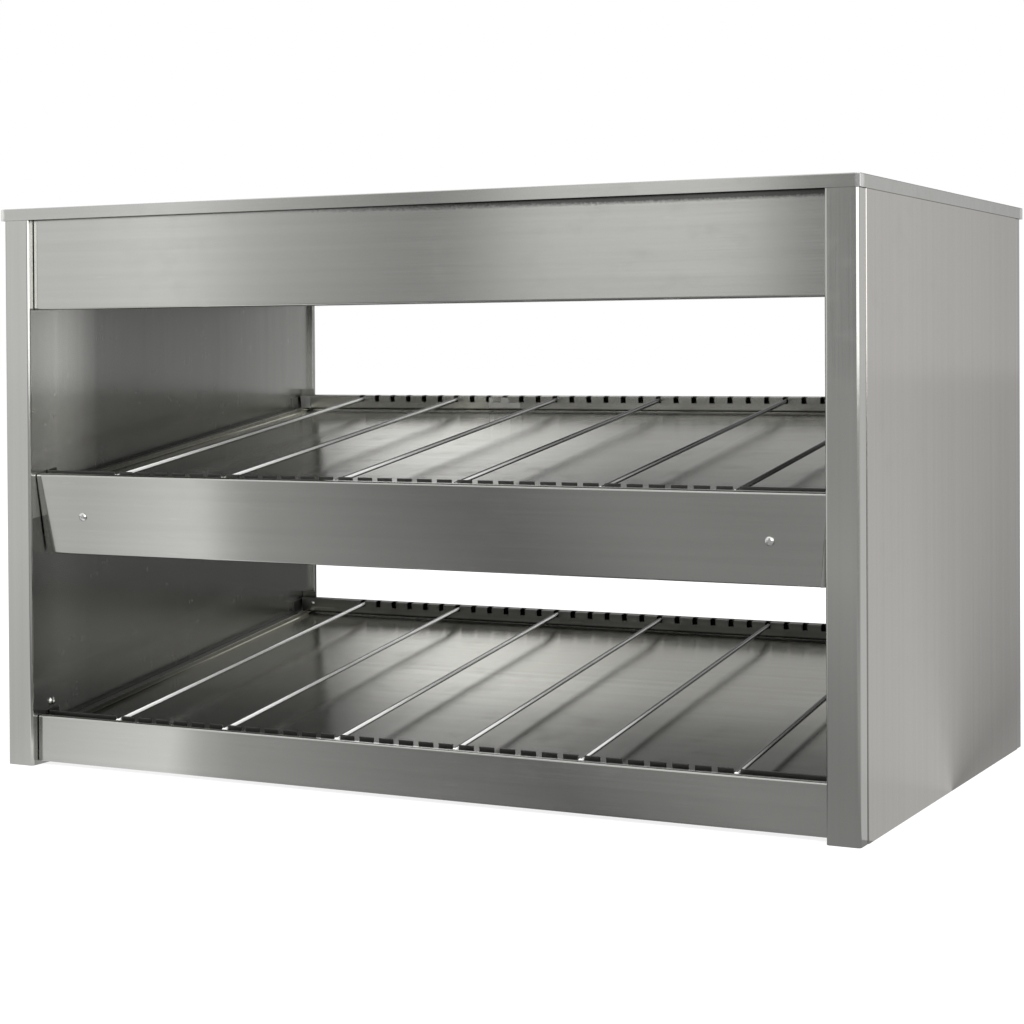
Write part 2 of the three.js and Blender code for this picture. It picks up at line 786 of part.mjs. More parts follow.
// A triangular ear at one end of a leaning fascia, bent back along a slanting crease.
// The cutter takes off what lies beyond the crease.
function fasciaEar(side, faceY, topZ, bottomZ) {
  const outerX = side * (innerHalf - endGap);
  const apex = new THREE.Vector3(outerX, faceY + earStep, topZ - 2 * fasciaBend);
  const foot = new THREE.Vector3(outerX - side * earWidth, faceY + earStep, bottomZ);
  const crease = apex.clone().sub(foot);
  const below = foot.clone().addScaledVector(crease, -cutOver / crease.z);
  const beyondX = outerX + side * cutOver;
  const beyond = [
    [apex.x, apex.z],
    [below.x, below.z],
    [beyondX, below.z],
    [beyondX, apex.z],
  ];
  const cutter = extrude("y", beyond, faceY - cutOver, faceY + fasciaReturn + cutOver);
  const triangle = [
    [apex.x, apex.z],
    [foot.x, foot.z],
    [outerX, bottomZ],
  ];
  const ear = extrude("y", triangle, apex.y, apex.y + fasciaSheet);
  ear.translate(-apex.x, -apex.y, -apex.z);
  ear.applyMatrix4(new THREE.Matrix4().makeRotationAxis(crease.normalize(), side * earAngle));
  ear.translate(apex.x, apex.y, apex.z);
  return { ear, cutter };
}

// A panel that closes the back of a shelf or of the base.
function rearPanel(bottomZ, topZ) {
  const half = fasciaSheet / 2;
  const faceY = panelBackY - half;
  const line = [
    [faceY - flangeDepth, topZ - half],
    [faceY, topZ - half],
    [faceY, bottomZ + half],
    [faceY - flangeDepth, bottomZ + half],
  ];
  const wide = innerHalf - seatGap;
  return extrude("x", foldedSheet(line, fasciaSheet, fasciaBend), -wide, wide);
}

// The top of a rear panel: its front flange just clears the plate above it.
function rearPanelTop(tierHeight) {
  const reach = panelBackY - fasciaSheet - flangeDepth - tierFrontY;
  const along = (reach + plateUnderside * slopeSine) / slopeCosine;
  return tierToCaseZ(tierHeight, along, plateUnderside) - seatGap;
}

// The upper shelf: a leaning fascia and a heated underside on the tier, and an upright rear panel.
function addUpperShelf(parent) {
  const tier = addTier(parent, "upper", upperTierHeight, upperRodNotches);
  const faceY = -shelfFasciaSetback;
  const bottomZ = ledgeRise - shelfFasciaHeight;
  const screwZ = ledgeRise - fasciaScrewDrop;
  const screwX = innerHalf - fasciaScrewInset;
  const screwHoles = [-1, 1].map((side) => {
    const hole = drill(screwShankRadius + seatGap, -cutOver, cutOver);
    return hole.translate(side * screwX, faceY, screwZ);
  });
  const ends = [-1, 1].map((side) => fasciaEar(side, faceY, ledgeRise, bottomZ));
  const cutters = ends.map((end) => end.cutter);
  const trimmed = cut(ledgeFascia(faceY, ledgeRise, bottomZ, true), ...screwHoles, ...cutters);
  const fascia = join(trimmed, ...ends.map((end) => end.ear));
  addPiece(tier, "upper_shelf_fascia", fascia, brushedSteel);
  for (const side of [-1, 1]) {
    const screwName = (side < 0 ? "left" : "right") + "_fascia_screw";
    const screw = addPiece(tier, screwName, domeScrew(), brightSteel);
    screw.position.set(side * screwX, faceY - seatGap, screwZ);
  }

  const undersideZ = bottomZ + ceilingRise;
  const undersideY0 = faceY + fasciaReturn + fasciaSheet / 2 + seatGap;
  const panelFront = panelBackY - fasciaSheet - seatGap;
  const undersideY1 = (panelFront - tierFrontY + undersideZ * slopeSine) / slopeCosine;
  const names = {
    ceiling: "upper_shelf_underside",
    reflector: "upper_shelf_reflector",
    element: "upper_shelf_overhead_element",
  };
  addHeatedCeiling(tier, names, undersideY0, undersideY1, undersideZ);

  const panelBottom = tierToCaseZ(upperTierHeight, undersideY1, undersideZ) - ceilingRise / 2;
  const panel = rearPanel(panelBottom, rearPanelTop(upperTierHeight));
  addPiece(parent, "upper_shelf_rear_panel", panel, brushedSteel);
}

// The base: upright fascia, bottom cover and the rear panel that carries the controls.
function addBase(parent) {
  addTier(parent, "lower", lowerTierHeight, lowerRodNotches);
  const faceY = tierFrontY - shelfFasciaSetback;
  const fascia = ledgeFascia(faceY, lowerTierHeight + ledgeRise / 2, floorClearance, false);
  addPiece(parent, "base_front_fascia", fascia, brushedSteel);

  const half = fasciaSheet / 2;
  const floorZ = floorClearance + fasciaSheet + seatGap + half;
  const floorY0 = faceY + fasciaSheet + seatGap + half;
  const floorY1 = panelBackY - fasciaSheet - seatGap - half;
  const floorLine = [
    [floorY0, floorZ + ceilingFlange],
    [floorY0, floorZ],
    [floorY1, floorZ],
    [floorY1, floorZ + ceilingFlange],
  ];
  const wide = innerHalf - seatGap;
  const floor = extrude("x", foldedSheet(floorLine, fasciaSheet, fasciaBend), -wide, wide);
  const vents = [];
  for (let row = 0; row < ventRows; row++) {
    for (let column = 0; column < ventColumns; column++) {
      const x = (column - (ventColumns - 1) / 2) * ventSpacing;
      const y = (row - (ventRows - 1) / 2) * ventRowSpacing;
      const halfX = ventLength / 2;
      const halfY = ventWidth / 2;
      vents.push(block(x - halfX, x + halfX, y - halfY, y + halfY, floorZ - cutOver, floorZ + cutOver));
    }
  }
  addPiece(parent, "base_bottom_cover", cut(floor, ...vents), innerSteel);

  addControls(parent, floorZ + half);
}

// The knob turns on the thermostat's shaft, so it is built about Y with its base at 0.
function heatKnob() {
  const boreRadius = shaftRadius + seatGap;
  const boreTop = shaftLength + seatGap - knobStandOff;
  const body = revolve([
    [0, boreTop],
    [boreRadius, boreTop],
    [boreRadius, 0],
    [knobRadius, 0],
    [knobRadius, knobRibHeight],
    [knobTopRadius, knobRibHeight],
    [knobTopRadius, knobHeight],
    [0, knobHeight],
  ]);
  const rib = block(
    -knobRibWidth / 2,
    knobRibWidth / 2,
    knobHeight - knobRibHeight,
    knobHeight + knobRibHeight,
    -knobTopRadius,
    knobTopRadius,
  );
  return join(body, rib);
}

function thermostatBody() {
  const back = -fasciaSheet - seatGap;
  const half = thermostatSize / 2;
  const body = block(-half, half, back - thermostatDepth, back, -half, half);
  return join(body, drill(shaftRadius, back - cutOver / 2, shaftLength));
}

function pilotLamp() {
  const rim = lampFlange + seatGap;
  const profile = [
    [0, -lampBodyDepth],
    [lampBodyRadius, -lampBodyDepth],
    [lampBodyRadius, seatGap],
    [lampFlangeRadius, seatGap],
    [lampFlangeRadius, rim],
  ];
  for (let k = 0; k <= domeSteps; k++) {
    const angle = (Math.PI / 2) * (k / domeSteps);
    profile.push([lampLensRadius * Math.cos(angle), rim + lampLensRadius * Math.sin(angle)]);
  }
  return revolve(profile, rodSides);
}

// The rocker's pocket is open to the outside and has room for the swing.
function switchHousing() {
  const bodyHalfX = switchBodyWidth / 2;
  const bodyHalfZ = switchBodyHeight / 2;
  const body = block(-bodyHalfX, bodyHalfX, -switchBodyDepth, switchRimHeight, -bodyHalfZ, bodyHalfZ);
  const rimX = bodyHalfX + switchRim;
  const rimZ = bodyHalfZ + switchRim;
  const rim = block(-rimX, rimX, seatGap, switchRimHeight, -rimZ, rimZ);
  const pocketX = bodyHalfX - switchWall;
  const pocketZ = bodyHalfZ - switchWall;
  const pocket = block(-pocketX, pocketX, -pocketDepth, cutOver, -pocketZ, pocketZ);
  return cut(join(body, rim), pocket);
}

// The rocker's section, with its pivot at 0: two faces that meet in a shallow valley, and a root.
function switchRocker() {
  const halfX = switchBodyWidth / 2 - switchWall - rockerSideGap;
  const halfZ = switchBodyHeight / 2 - switchWall - rockerSwingRoom;
  const rootHalf = halfZ - rockerRootInset;
  const outline = [
    [rockerCrown, 0],
    [rockerCrown + rockerRise, halfZ],
    [-rockerRootDepth, rootHalf],
    [-rockerRootDepth, -rootHalf],
    [rockerCrown + rockerRise, -halfZ],
  ];
  return extrude("x", outline, -halfX, halfX);
}

// The gland: hexagon and dome nut outside, thread and lock nut inside, open right through.
function cableGland() {
  const back = -fasciaSheet - seatGap;
  const hexagon = (height, y0) => {
    const prism = new THREE.CylinderGeometry(glandNutRadius, glandNutRadius, height, hexSides);
    return prism.translate(0, y0 + height / 2, 0);
  };
  const thread = drill(glandThreadRadius, -glandTail, glandHexHeight);
  const domeBase = seatGap + glandHexHeight;
  const dome = revolve([
    [0, domeBase - seatGap],
    [glandNutRadius - seatGap, domeBase - seatGap],
    [glandNutRadius - seatGap, domeBase + seatGap],
    [glandDomeRadius, domeBase + glandDomeHeight],
    [0, domeBase + glandDomeHeight],
  ]);
  const outer = hexagon(glandHexHeight, seatGap);
  const lockNut = hexagon(glandNutHeight, back - glandNutHeight);
  const bore = drill(glandBoreRadius, -glandTail - cutOver, domeBase + glandDomeHeight + cutOver);
  return cut(join(thread, dome, outer, lockNut), bore);
}

// A row of poles on one foot, each with a wire hole from front to back.
function terminalBlock() {
  const length = terminalPitch * terminalCount;
  const foot = terminalHeight / 4;
  const whole = block(-length / 2, length / 2, 0, terminalDepth, 0, terminalHeight);
  const cutters = [];
  for (let i = 0; i < terminalCount; i++) {
    const x = (i - (terminalCount - 1) / 2) * terminalPitch;
    const hole = drill(terminalHoleRadius, -cutOver, terminalDepth + cutOver);
    cutters.push(hole.translate(x, 0, terminalHeight / 2));
    if (i === 0) continue;
    const slotX = x - terminalPitch / 2;
    const halfSlot = terminalSlot / 2;
    const top = terminalHeight + cutOver;
    cutters.push(block(slotX - halfSlot, slotX + halfSlot, -cutOver, terminalDepth + cutOver, foot, top));
  }
  return cut(whole, ...cutters);
}

// The control panel and what it carries, seen from behind the case.
function addControls(parent, floorTop) {
  const panel = rearPanel(floorClearance, rearPanelTop(lowerTierHeight));
  const roundHole = (radius, x, z) => {
    return drill(radius, -cutOver, cutOver).translate(x, panelBackY, z);
  };
  const switchHalfX = switchBodyWidth / 2 + seatGap;
  const switchHalfZ = switchBodyHeight / 2 + seatGap;
  const switchHole = block(
    switchX - switchHalfX,
    switchX + switchHalfX,
    panelBackY - cutOver,
    panelBackY + cutOver,
    controlHeight - switchHalfZ,
    controlHeight + switchHalfZ,
  );
  const holes = [
    switchHole,
    roundHole(lampBodyRadius + seatGap, upperLampX, controlHeight),
    roundHole(lampBodyRadius + seatGap, lowerLampX, controlHeight),
    roundHole(shaftRadius + seatGap, upperKnobX, controlHeight),
    roundHole(shaftRadius + seatGap, lowerKnobX, controlHeight),
    roundHole(glandThreadRadius + seatGap, glandX, glandHeight),
  ];
  addPiece(parent, "rear_control_panel", cut(panel, ...holes), brushedSteel);

  const place = (name, geometry, material, x, z, standOff = 0) => {
    const mesh = addPiece(parent, name, geometry, material);
    mesh.position.set(x, panelBackY + standOff, z);
    return mesh;
  };
  place("upper_thermostat", thermostatBody(), whitePlastic, upperKnobX, controlHeight);
  place("lower_thermostat", thermostatBody(), whitePlastic, lowerKnobX, controlHeight);
  place("upper_heat_knob", heatKnob(), blackPlastic, upperKnobX, controlHeight, knobStandOff);
  place("lower_heat_knob", heatKnob(), blackPlastic, lowerKnobX, controlHeight, knobStandOff);
  place("upper_pilot_lamp", pilotLamp(), lampAmber, upperLampX, controlHeight);
  place("lower_pilot_lamp", pilotLamp(), lampAmber, lowerLampX, controlHeight);
  place("power_switch_housing", switchHousing(), blackPlastic, switchX, controlHeight);
  const rocker = place(
    "power_switch_rocker",
    switchRocker(),
    blackPlastic,
    switchX,
    controlHeight,
    -rockerPivotDepth,
  );
  rocker.rotation.x = -rockerTilt;
  place("cable_gland", cableGland(), blackPlastic, glandX, glandHeight);

  const terminals = addPiece(parent, "terminal_block", terminalBlock(), whitePlastic);
  terminals.position.set(terminalX, rearY - terminalSetback, floorTop + seatGap);
}

const displayCase = new THREE.Group();
displayCase.name = "heated_display_case";
addHousing(displayCase, -1, "left");
addHousing(displayCase, 1, "right");
addTopCover(displayCase);
addCanopy(displayCase);
addUpperShelf(displayCase);
addBase(displayCase);

export default displayCase;
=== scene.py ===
import math

import bmesh
import bpy
from mathutils import Matrix, Vector


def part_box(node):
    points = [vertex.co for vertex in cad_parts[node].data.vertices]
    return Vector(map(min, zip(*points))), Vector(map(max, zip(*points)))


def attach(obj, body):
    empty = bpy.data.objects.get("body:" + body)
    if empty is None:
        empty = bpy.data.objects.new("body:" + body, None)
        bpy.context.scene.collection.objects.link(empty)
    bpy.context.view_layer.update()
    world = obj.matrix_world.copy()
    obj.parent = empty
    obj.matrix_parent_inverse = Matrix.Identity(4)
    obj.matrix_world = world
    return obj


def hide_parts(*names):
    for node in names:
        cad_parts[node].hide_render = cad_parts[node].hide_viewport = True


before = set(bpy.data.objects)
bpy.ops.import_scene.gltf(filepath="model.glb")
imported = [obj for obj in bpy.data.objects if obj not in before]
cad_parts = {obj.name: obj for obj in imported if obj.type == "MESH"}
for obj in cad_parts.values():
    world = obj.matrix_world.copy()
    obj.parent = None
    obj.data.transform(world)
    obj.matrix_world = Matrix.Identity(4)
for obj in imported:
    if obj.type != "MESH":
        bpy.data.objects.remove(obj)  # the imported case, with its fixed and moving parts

tierSlope = math.radians(8)
tiers = ("upper", "lower")
sides = ((-1, "left"), (1, "right"))
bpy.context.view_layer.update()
print("case loaded:", len(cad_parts), "parts")


# Working steps that every piece goes through

def deselectAll():
    if bpy.context.object is not None and bpy.context.object.mode != "OBJECT":
        bpy.ops.object.mode_set(mode="OBJECT")
    bpy.ops.object.select_all(action="DESELECT")


def pick(piece):
    deselectAll()
    piece.select_set(True)
    bpy.context.view_layer.objects.active = piece


def settle(piece):  # its place, turn and size go into the mesh
    pick(piece)
    bpy.ops.object.transform_apply(location=True, rotation=True, scale=True)


def applyModifier(piece, kind, **settings):
    pick(piece)
    bpy.ops.object.modifier_add(type=kind)
    modifier = piece.modifiers[-1]
    for name, value in settings.items():
        setattr(modifier, name, value)
    bpy.ops.object.modifier_apply(modifier=modifier.name)


def openMesh(piece, mode="FACE", choice="DESELECT"):  # edit mode, with nothing or everything selected
    pick(piece)
    bpy.ops.object.mode_set(mode="EDIT")
    bpy.ops.mesh.select_mode(type=mode)
    bpy.ops.mesh.select_all(action=choice)


def closeMesh():
    bpy.ops.object.mode_set(mode="OBJECT")


def selectFaces(piece, test):
    mesh = bmesh.from_edit_mesh(piece.data)
    for face in mesh.faces:
        face.select_set(test(face.calc_center_median(), face.normal))
    bmesh.update_edit_mesh(piece.data)


def selectEdges(piece, test):
    mesh = bmesh.from_edit_mesh(piece.data)
    for edge in mesh.edges:
        edge.select_set(test(edge.verts[0].co, edge.verts[1].co))
    bmesh.update_edit_mesh(piece.data)


def everyOther(spot, parts, axis=Vector((0, 0, 0))):  # true for each second facet round an axis along Y
    turn = math.atan2(spot.x - axis.x, spot.z - axis.z) + math.pi
    return int(turn / (2 * math.pi) * parts) % 2 == 0


def extrude(x, y, z):
    bpy.ops.mesh.extrude_region_move(TRANSFORM_OT_translate={"value": (x, y, z)})


def smooth(piece, degrees=50):  # rounded edges blend in, flat faces stay flat
    pick(piece)
    bpy.ops.object.shade_smooth_by_angle(angle=math.radians(degrees))
    applyModifier(piece, "WEIGHTED_NORMAL", keep_sharp=True, weight=80)


def roundEdges(piece, width, segments=2, degrees=30):
    applyModifier(
        piece, "BEVEL", width=width, segments=segments, limit_method="ANGLE",
        angle_limit=math.radians(degrees), use_clamp_overlap=False,
    )


def softenEdges(piece, width, segments=2, degrees=30, blend=50):
    roundEdges(piece, width, segments, degrees)
    smooth(piece, blend)


def addShape(operator, **settings):
    deselectAll()
    operator(**settings)
    piece = bpy.context.object
    settle(piece)
    return piece


def addBox(low, high):
    low, high = Vector(low), Vector(high)
    return addShape(bpy.ops.mesh.primitive_cube_add, size=1, location=(low + high) / 2, scale=high - low)


def addDisc(radius, length, place, sides=48, along="y"):  # a round bar, its middle at place
    return addShape(
        bpy.ops.mesh.primitive_cylinder_add, vertices=sides, radius=radius, depth=length,
        location=place, rotation=(math.pi / 2 if along == "y" else 0, 0, 0),
    )


def addRing(radius, wire, wireSides, place=(0, 0, 0)):
    return addShape(
        bpy.ops.mesh.primitive_torus_add, major_segments=48, minor_segments=wireSides,
        major_radius=radius, minor_radius=wire, location=place, rotation=(math.pi / 2, 0, 0),
    )


def addDome(segments, radius, cut, outward):  # part of a ball, cut square to Y and left in edit mode
    dome = addShape(
        bpy.ops.mesh.primitive_uv_sphere_add, segments=segments, ring_count=segments // 2,
        radius=radius, rotation=(math.pi / 2, 0, 0),
    )
    openMesh(dome, "FACE", "SELECT")
    bpy.ops.mesh.bisect(plane_co=(0, cut, 0), plane_no=(0, outward, 0), use_fill=True, clear_outer=True)
    bpy.ops.mesh.select_all(action="DESELECT")
    return dome


def taperTop(piece, shares, **settings):  # the face at +Y is made smaller
    openMesh(piece)
    selectFaces(piece, lambda centre, normal: normal.y > 0.9)
    bpy.ops.transform.resize(value=shares, **settings)
    closeMesh()


def addFlutes(piece, parts, width, depth, axis=Vector((0, 0, 0))):  # grooves down a bar along Y
    openMesh(piece)
    selectFaces(piece, lambda centre, normal: abs(normal.y) < 0.8 and everyOther(centre, parts, axis))
    bpy.ops.mesh.inset(thickness=width, use_individual=True)
    bpy.ops.transform.shrink_fatten(value=-depth)
    closeMesh()
    roundEdges(piece, width, 2, 50)


def joinPieces(pieces):
    deselectAll()
    for piece in pieces:
        piece.select_set(True)
    bpy.context.view_layer.objects.active = pieces[0]
    bpy.ops.object.join()
    return bpy.context.object


def carve(piece, cutter):
    applyModifier(piece, "BOOLEAN", operation="DIFFERENCE", solver="EXACT", object=cutter)
    bpy.data.objects.remove(cutter)


def copyPiece(piece):
    pick(piece)
    bpy.ops.object.duplicate()
    return bpy.context.object


def middle(node):
    low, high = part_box(node)
    return (low + high) / 2


def dress(piece, name, material, body="case", standsFor=()):
    settle(piece)
    piece.name = name
    piece.data.name = name
    piece.data.materials.clear()
    piece.data.materials.append(material)
    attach(piece, body)
    if standsFor:
        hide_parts(*standsFor)


# Shader building

def feed(tree, node, sockets):  # a socket is linked, a plain value is set
    for name, value in sockets.items():
        if isinstance(value, bpy.types.NodeSocket):
            tree.links.new(value, node.inputs[name])
        else:
            node.inputs[name].default_value = value


def addNode(tree, kind, sockets=None, **settings):
    made = tree.nodes.new("ShaderNode" + kind)
    for name, value in settings.items():
        setattr(made, name, value)
    feed(tree, made, sockets or {})
    return made


def addMath(tree, operation, first, second=0.0):
    return addNode(tree, "Math", {0: first, 1: second}, operation=operation).outputs[0]


def addRemap(tree, value, fromLow, fromHigh, toLow, toHigh):
    sockets = {"Value": value, "From Min": fromLow, "From Max": fromHigh, "To Min": toLow, "To Max": toHigh}
    return addNode(tree, "MapRange", sockets).outputs[0]


def addMix(tree, share, first, second, blend="MIX"):
    sockets = {0: share, 6: first, 7: second}
    return addNode(tree, "Mix", sockets, data_type="RGBA", blend_type=blend).outputs[2]


def addBump(tree, strength, distance, height):
    sockets = {"Strength": strength, "Distance": distance, "Height": height}
    return addNode(tree, "Bump", sockets).outputs["Normal"]


def addRamp(tree, value, stops):  # stops are pairs of place and level
    low, high = stops[0][0], stops[-1][0]
    ramp = addNode(tree, "ValToRGB", {"Fac": addRemap(tree, value, low, high, 0.0, 1.0)})
    ramp.color_ramp.elements[0].color = (stops[0][1],) * 3 + (1,)
    ramp.color_ramp.elements[1].color = (stops[-1][1],) * 3 + (1,)
    for place, level in stops[1:-1]:
        stop = ramp.color_ramp.elements.new((place - low) / (high - low))
        stop.color = (level, level, level, 1)
    return ramp.outputs["Color"]


def startGroup(name, inputs, outputs):
    group = bpy.data.node_groups.new(name, "ShaderNodeTree")
    kinds = {"value": "NodeSocketFloat", "vector": "NodeSocketVector"}
    for socketName, kind, default in inputs:
        socket = group.interface.new_socket(socketName, in_out="INPUT", socket_type=kinds[kind])
        socket.default_value = default
    for socketName, kind in outputs:
        group.interface.new_socket(socketName, in_out="OUTPUT", socket_type=kinds[kind])
    source = group.nodes.new("NodeGroupInput")
    result = group.nodes.new("NodeGroupOutput")
    return group, source, result


def useGroup(tree, group, sockets):
    return addNode(tree, "Group", sockets, node_tree=group)


def stretchedNoise(tree, stretch, scale, detail, roughness=0.5):
    spot = addNode(tree, "TexCoord").outputs["Object"]
    stretched = addNode(tree, "VectorMath", {0: spot, 1: stretch}, operation="MULTIPLY").outputs[0]
    sockets = {"Vector": stretched, "Scale": scale, "Detail": detail, "Roughness": roughness}
    return addNode(tree, "TexNoise", sockets).outputs["Fac"]


def startMaterial(name):
    material = bpy.data.materials.new(name)
    material.use_nodes = True
    return material, material.node_tree, material.node_tree.nodes["Principled BSDF"]


# Brushing: fine lines, wider bands and the height that the belt leaves
brushing, source, result = startGroup(
    "brushing",
    [("Stretch", "vector", (12, 700, 700)), ("Fine Scale", "value", 1.0), ("Band Scale", "value", 0.07)],
    [("Lines", "value"), ("Bands", "value"), ("Height", "value")],
)
lines = stretchedNoise(brushing, source.outputs["Stretch"], source.outputs["Fine Scale"], 3)
bands = stretchedNoise(brushing, source.outputs["Stretch"], source.outputs["Band Scale"], 2)
feed(brushing, result, {
    "Lines": addRemap(brushing, lines, 0.3, 0.7, 0.0, 1.0),
    "Bands": addRemap(brushing, bands, 0.3, 0.7, 0.0, 1.0),
    "Height": addMath(brushing, "MULTIPLY", lines, 0.8),
})

# Handling: wiped patches, finger smears and short scratches
handling, source, result = startGroup(
    "handling",
    [
        ("Patch Scale", "value", 5.0), ("Smear Scale", "value", 28.0),
        ("Scratch Stretch", "vector", (30, 340, 260)),
    ],
    [("Patches", "value"), ("Smears", "value"), ("Scratches", "value")],
)
patches = stretchedNoise(handling, (1, 1, 1), source.outputs["Patch Scale"], 4, 0.55)
smears = stretchedNoise(handling, (1, 1, 1.6), source.outputs["Smear Scale"], 5, 0.6)
scratches = stretchedNoise(handling, source.outputs["Scratch Stretch"], 1.0, 2)
feed(handling, result, {
    "Patches": addRemap(handling, patches, 0.42, 0.66, 0.0, 1.0),
    "Smears": addRemap(handling, smears, 0.52, 0.72, 0.0, 1.0),
    "Scratches": addRemap(handling, scratches, 0.68, 0.76, 0.0, 1.0),
})


# A ragged spot, which is on both sides of the case where its x is negative
def addSpot(tree, place, size):
    spot = addNode(tree, "TexCoord").outputs["Object"]
    if place[0] < 0:
        spot = addNode(tree, "VectorMath", {0: spot}, operation="ABSOLUTE").outputs[0]
        place = tuple(abs(value) for value in place)
    away = addNode(tree, "VectorMath", {0: spot, 1: place}, operation="SUBTRACT")
    away = addNode(tree, "VectorMath", {0: away.outputs[0], 1: size}, operation="DIVIDE")
    distance = addNode(tree, "VectorMath", {0: away.outputs[0]}, operation="LENGTH").outputs["Value"]
    ragged = addMath(tree, "MULTIPLY", stretchedNoise(tree, (700, 700, 700), 1.0, 3), 0.5)
    return addRemap(tree, addMath(tree, "ADD", distance, ragged), 0.8, 1.25, 1.0, 0.0)


# Painted reflection on inner faces: their colour is made darker or lighter by their place from front to back
def addTarnish(tree, colour, tones):
    spot = addNode(tree, "SeparateXYZ", {"Vector": addNode(tree, "TexCoord").outputs["Object"]})
    across, depth, height = (spot.outputs[axis] for axis in "XYZ")
    inside = addMath(tree, "LESS_THAN", addMath(tree, "ABSOLUTE", across), tones["wall"])
    inside = addMath(tree, "MULTIPLY", inside, addMath(tree, "GREATER_THAN", depth, tones["front"]))
    rise = addMath(tree, "MULTIPLY", depth, math.tan(tierSlope))  # the split leans with the tiers
    isUpper = addMath(tree, "GREATER_THAN", addMath(tree, "SUBTRACT", height, rise), tones["split"])
    tone = addMix(tree, isUpper, addRamp(tree, depth, tones["lower"]), addRamp(tree, depth, tones["upper"]))
    return addMix(tree, inside, colour, tone, "MULTIPLY"), inside


def makeSteel(name, *tones, **changes):
    values = dict(steelValues)
    for tone in (*tones, changes):
        values.update(tone)
    material, tree, shader = startMaterial(name)
    grain = useGroup(tree, brushing, {"Stretch": values["stretch"]})
    wear = useGroup(tree, handling, {"Patch Scale": values["patchScale"]})
    colour = addMix(tree, grain.outputs["Bands"], (*values["darkColour"], 1), (*values["colour"], 1))
    layers = ((grain, "Lines", "line"), (wear, "Patches", "patch"), (wear, "Scratches", "scratch"))
    for group, mask, layer in layers:
        share = addMath(tree, "MULTIPLY", group.outputs[mask], values[layer + "Share"])
        colour = addMix(tree, share, colour, (*values[layer + "Colour"], 1))
    least = values["roughness"] - values["lineRoughness"]
    most = values["roughness"] + values["lineRoughness"]
    rough = addRemap(tree, grain.outputs["Lines"], 0.0, 1.0, least, most)
    smeared = addMath(tree, "MULTIPLY", wear.outputs["Smears"], values["smearRoughness"])
    rough = addMath(tree, "ADD", rough, smeared)
    # painted reflection: inner faces are made darker or lighter by place, and their roughness is raised by
    # the given amount
    if "tarnish" in values:
        colour, inside = addTarnish(tree, colour, values["tarnish"])
        dulled = addMath(tree, "MULTIPLY", inside, values["tarnish"]["roughness"])
        rough = addMath(tree, "ADD", rough, dulled)
    for place, size, tone in values.get("spots", ()):
        colour = addMix(tree, addSpot(tree, place, size), colour, (*tone, 1))
    bump = addBump(tree, values["bump"], 0.0001, grain.outputs["Height"])
    tangent = addNode(tree, "CombineXYZ", dict(zip("XYZ", values["across"])))
    feed(tree, shader, {
        "Base Color": colour, "Roughness": rough, "Metallic": 1.0, "Anisotropic": values["anisotropy"],
        "Normal": bump, "Tangent": tangent.outputs["Vector"],
    })
    return material


steelValues = {
    "colour": (0.585, 0.585, 0.56), "darkColour": (0.55, 0.55, 0.525), "lineColour": (0.66, 0.66, 0.64),
    "patchColour": (0.53, 0.525, 0.50), "lineShare": 0.15, "patchShare": 0.2, "roughness": 0.15,
    "smearRoughness": 0.03, "bump": 0.04, "anisotropy": 0.85, "scratchShare": 0.12,
    "scratchColour": (0.8, 0.8, 0.78), "patchScale": 5.0, "lineRoughness": 0.02,
}
# The shine spreads across the brushing, so its direction is square to the lines
lengthwise = {"stretch": (10, 1500, 1500), "across": (0.02, 0.7, 0.71)}  # brushed from side to side
upright = {"stretch": (1500, 1500, 10), "across": (0.75, 0.66, 0.02)}  # brushed from top to bottom
crosswise = {"stretch": (1500, 10, 1500), "across": (0.7, 0.02, 0.71)}  # brushed from front to back
innerTone = {
    "colour": (0.52, 0.52, 0.49), "darkColour": (0.45, 0.45, 0.42), "lineColour": (0.58, 0.58, 0.56),
    "patchColour": (0.42, 0.41, 0.38), "roughness": 0.22,
}
# painted shade: a much darker copy of the steel, for rails and cover strips that sit in shade
shadeTone = {
    "colour": (0.2, 0.2, 0.19), "darkColour": (0.14, 0.14, 0.13), "lineColour": (0.26, 0.26, 0.25),
    "patchColour": (0.12, 0.118, 0.11), "roughness": 0.3,
}
# painted reflection on the inner walls, by depth and tier; above 1 where a bright reflection is painted
wallPaintedReflection = {
    "wall": 0.4488, "front": -0.2815, "split": 0.306, "roughness": 0.14,
    "upper": (
        (-0.285, 1.2), (-0.24, 1.5), (-0.205, 1.1), (-0.165, 0.52), (-0.09, 0.46), (0.07, 0.5), (0.26, 0.76),
    ),
    "lower": ((-0.285, 0.55), (-0.235, 0.8), (-0.18, 0.7), (0.26, 0.75)),
}
# painted reflection on the heated plates: darker at the front, lighter at the back
platePaintedReflection = {
    "wall": 1.0, "front": -1.0, "split": 0.306, "roughness": 0.0,
    "upper": (
        (-0.27, 0.45), (-0.16, 0.58), (-0.1, 0.7), (-0.05, 0.82), (0.05, 1.0), (0.18, 1.0), (0.25, 1.5),
    ),
    "lower": (
        (-0.27, 0.32), (-0.15, 0.34), (-0.09, 0.48), (-0.04, 0.72), (0.02, 0.92), (0.18, 1.0), (0.25, 1.5),
    ),
}
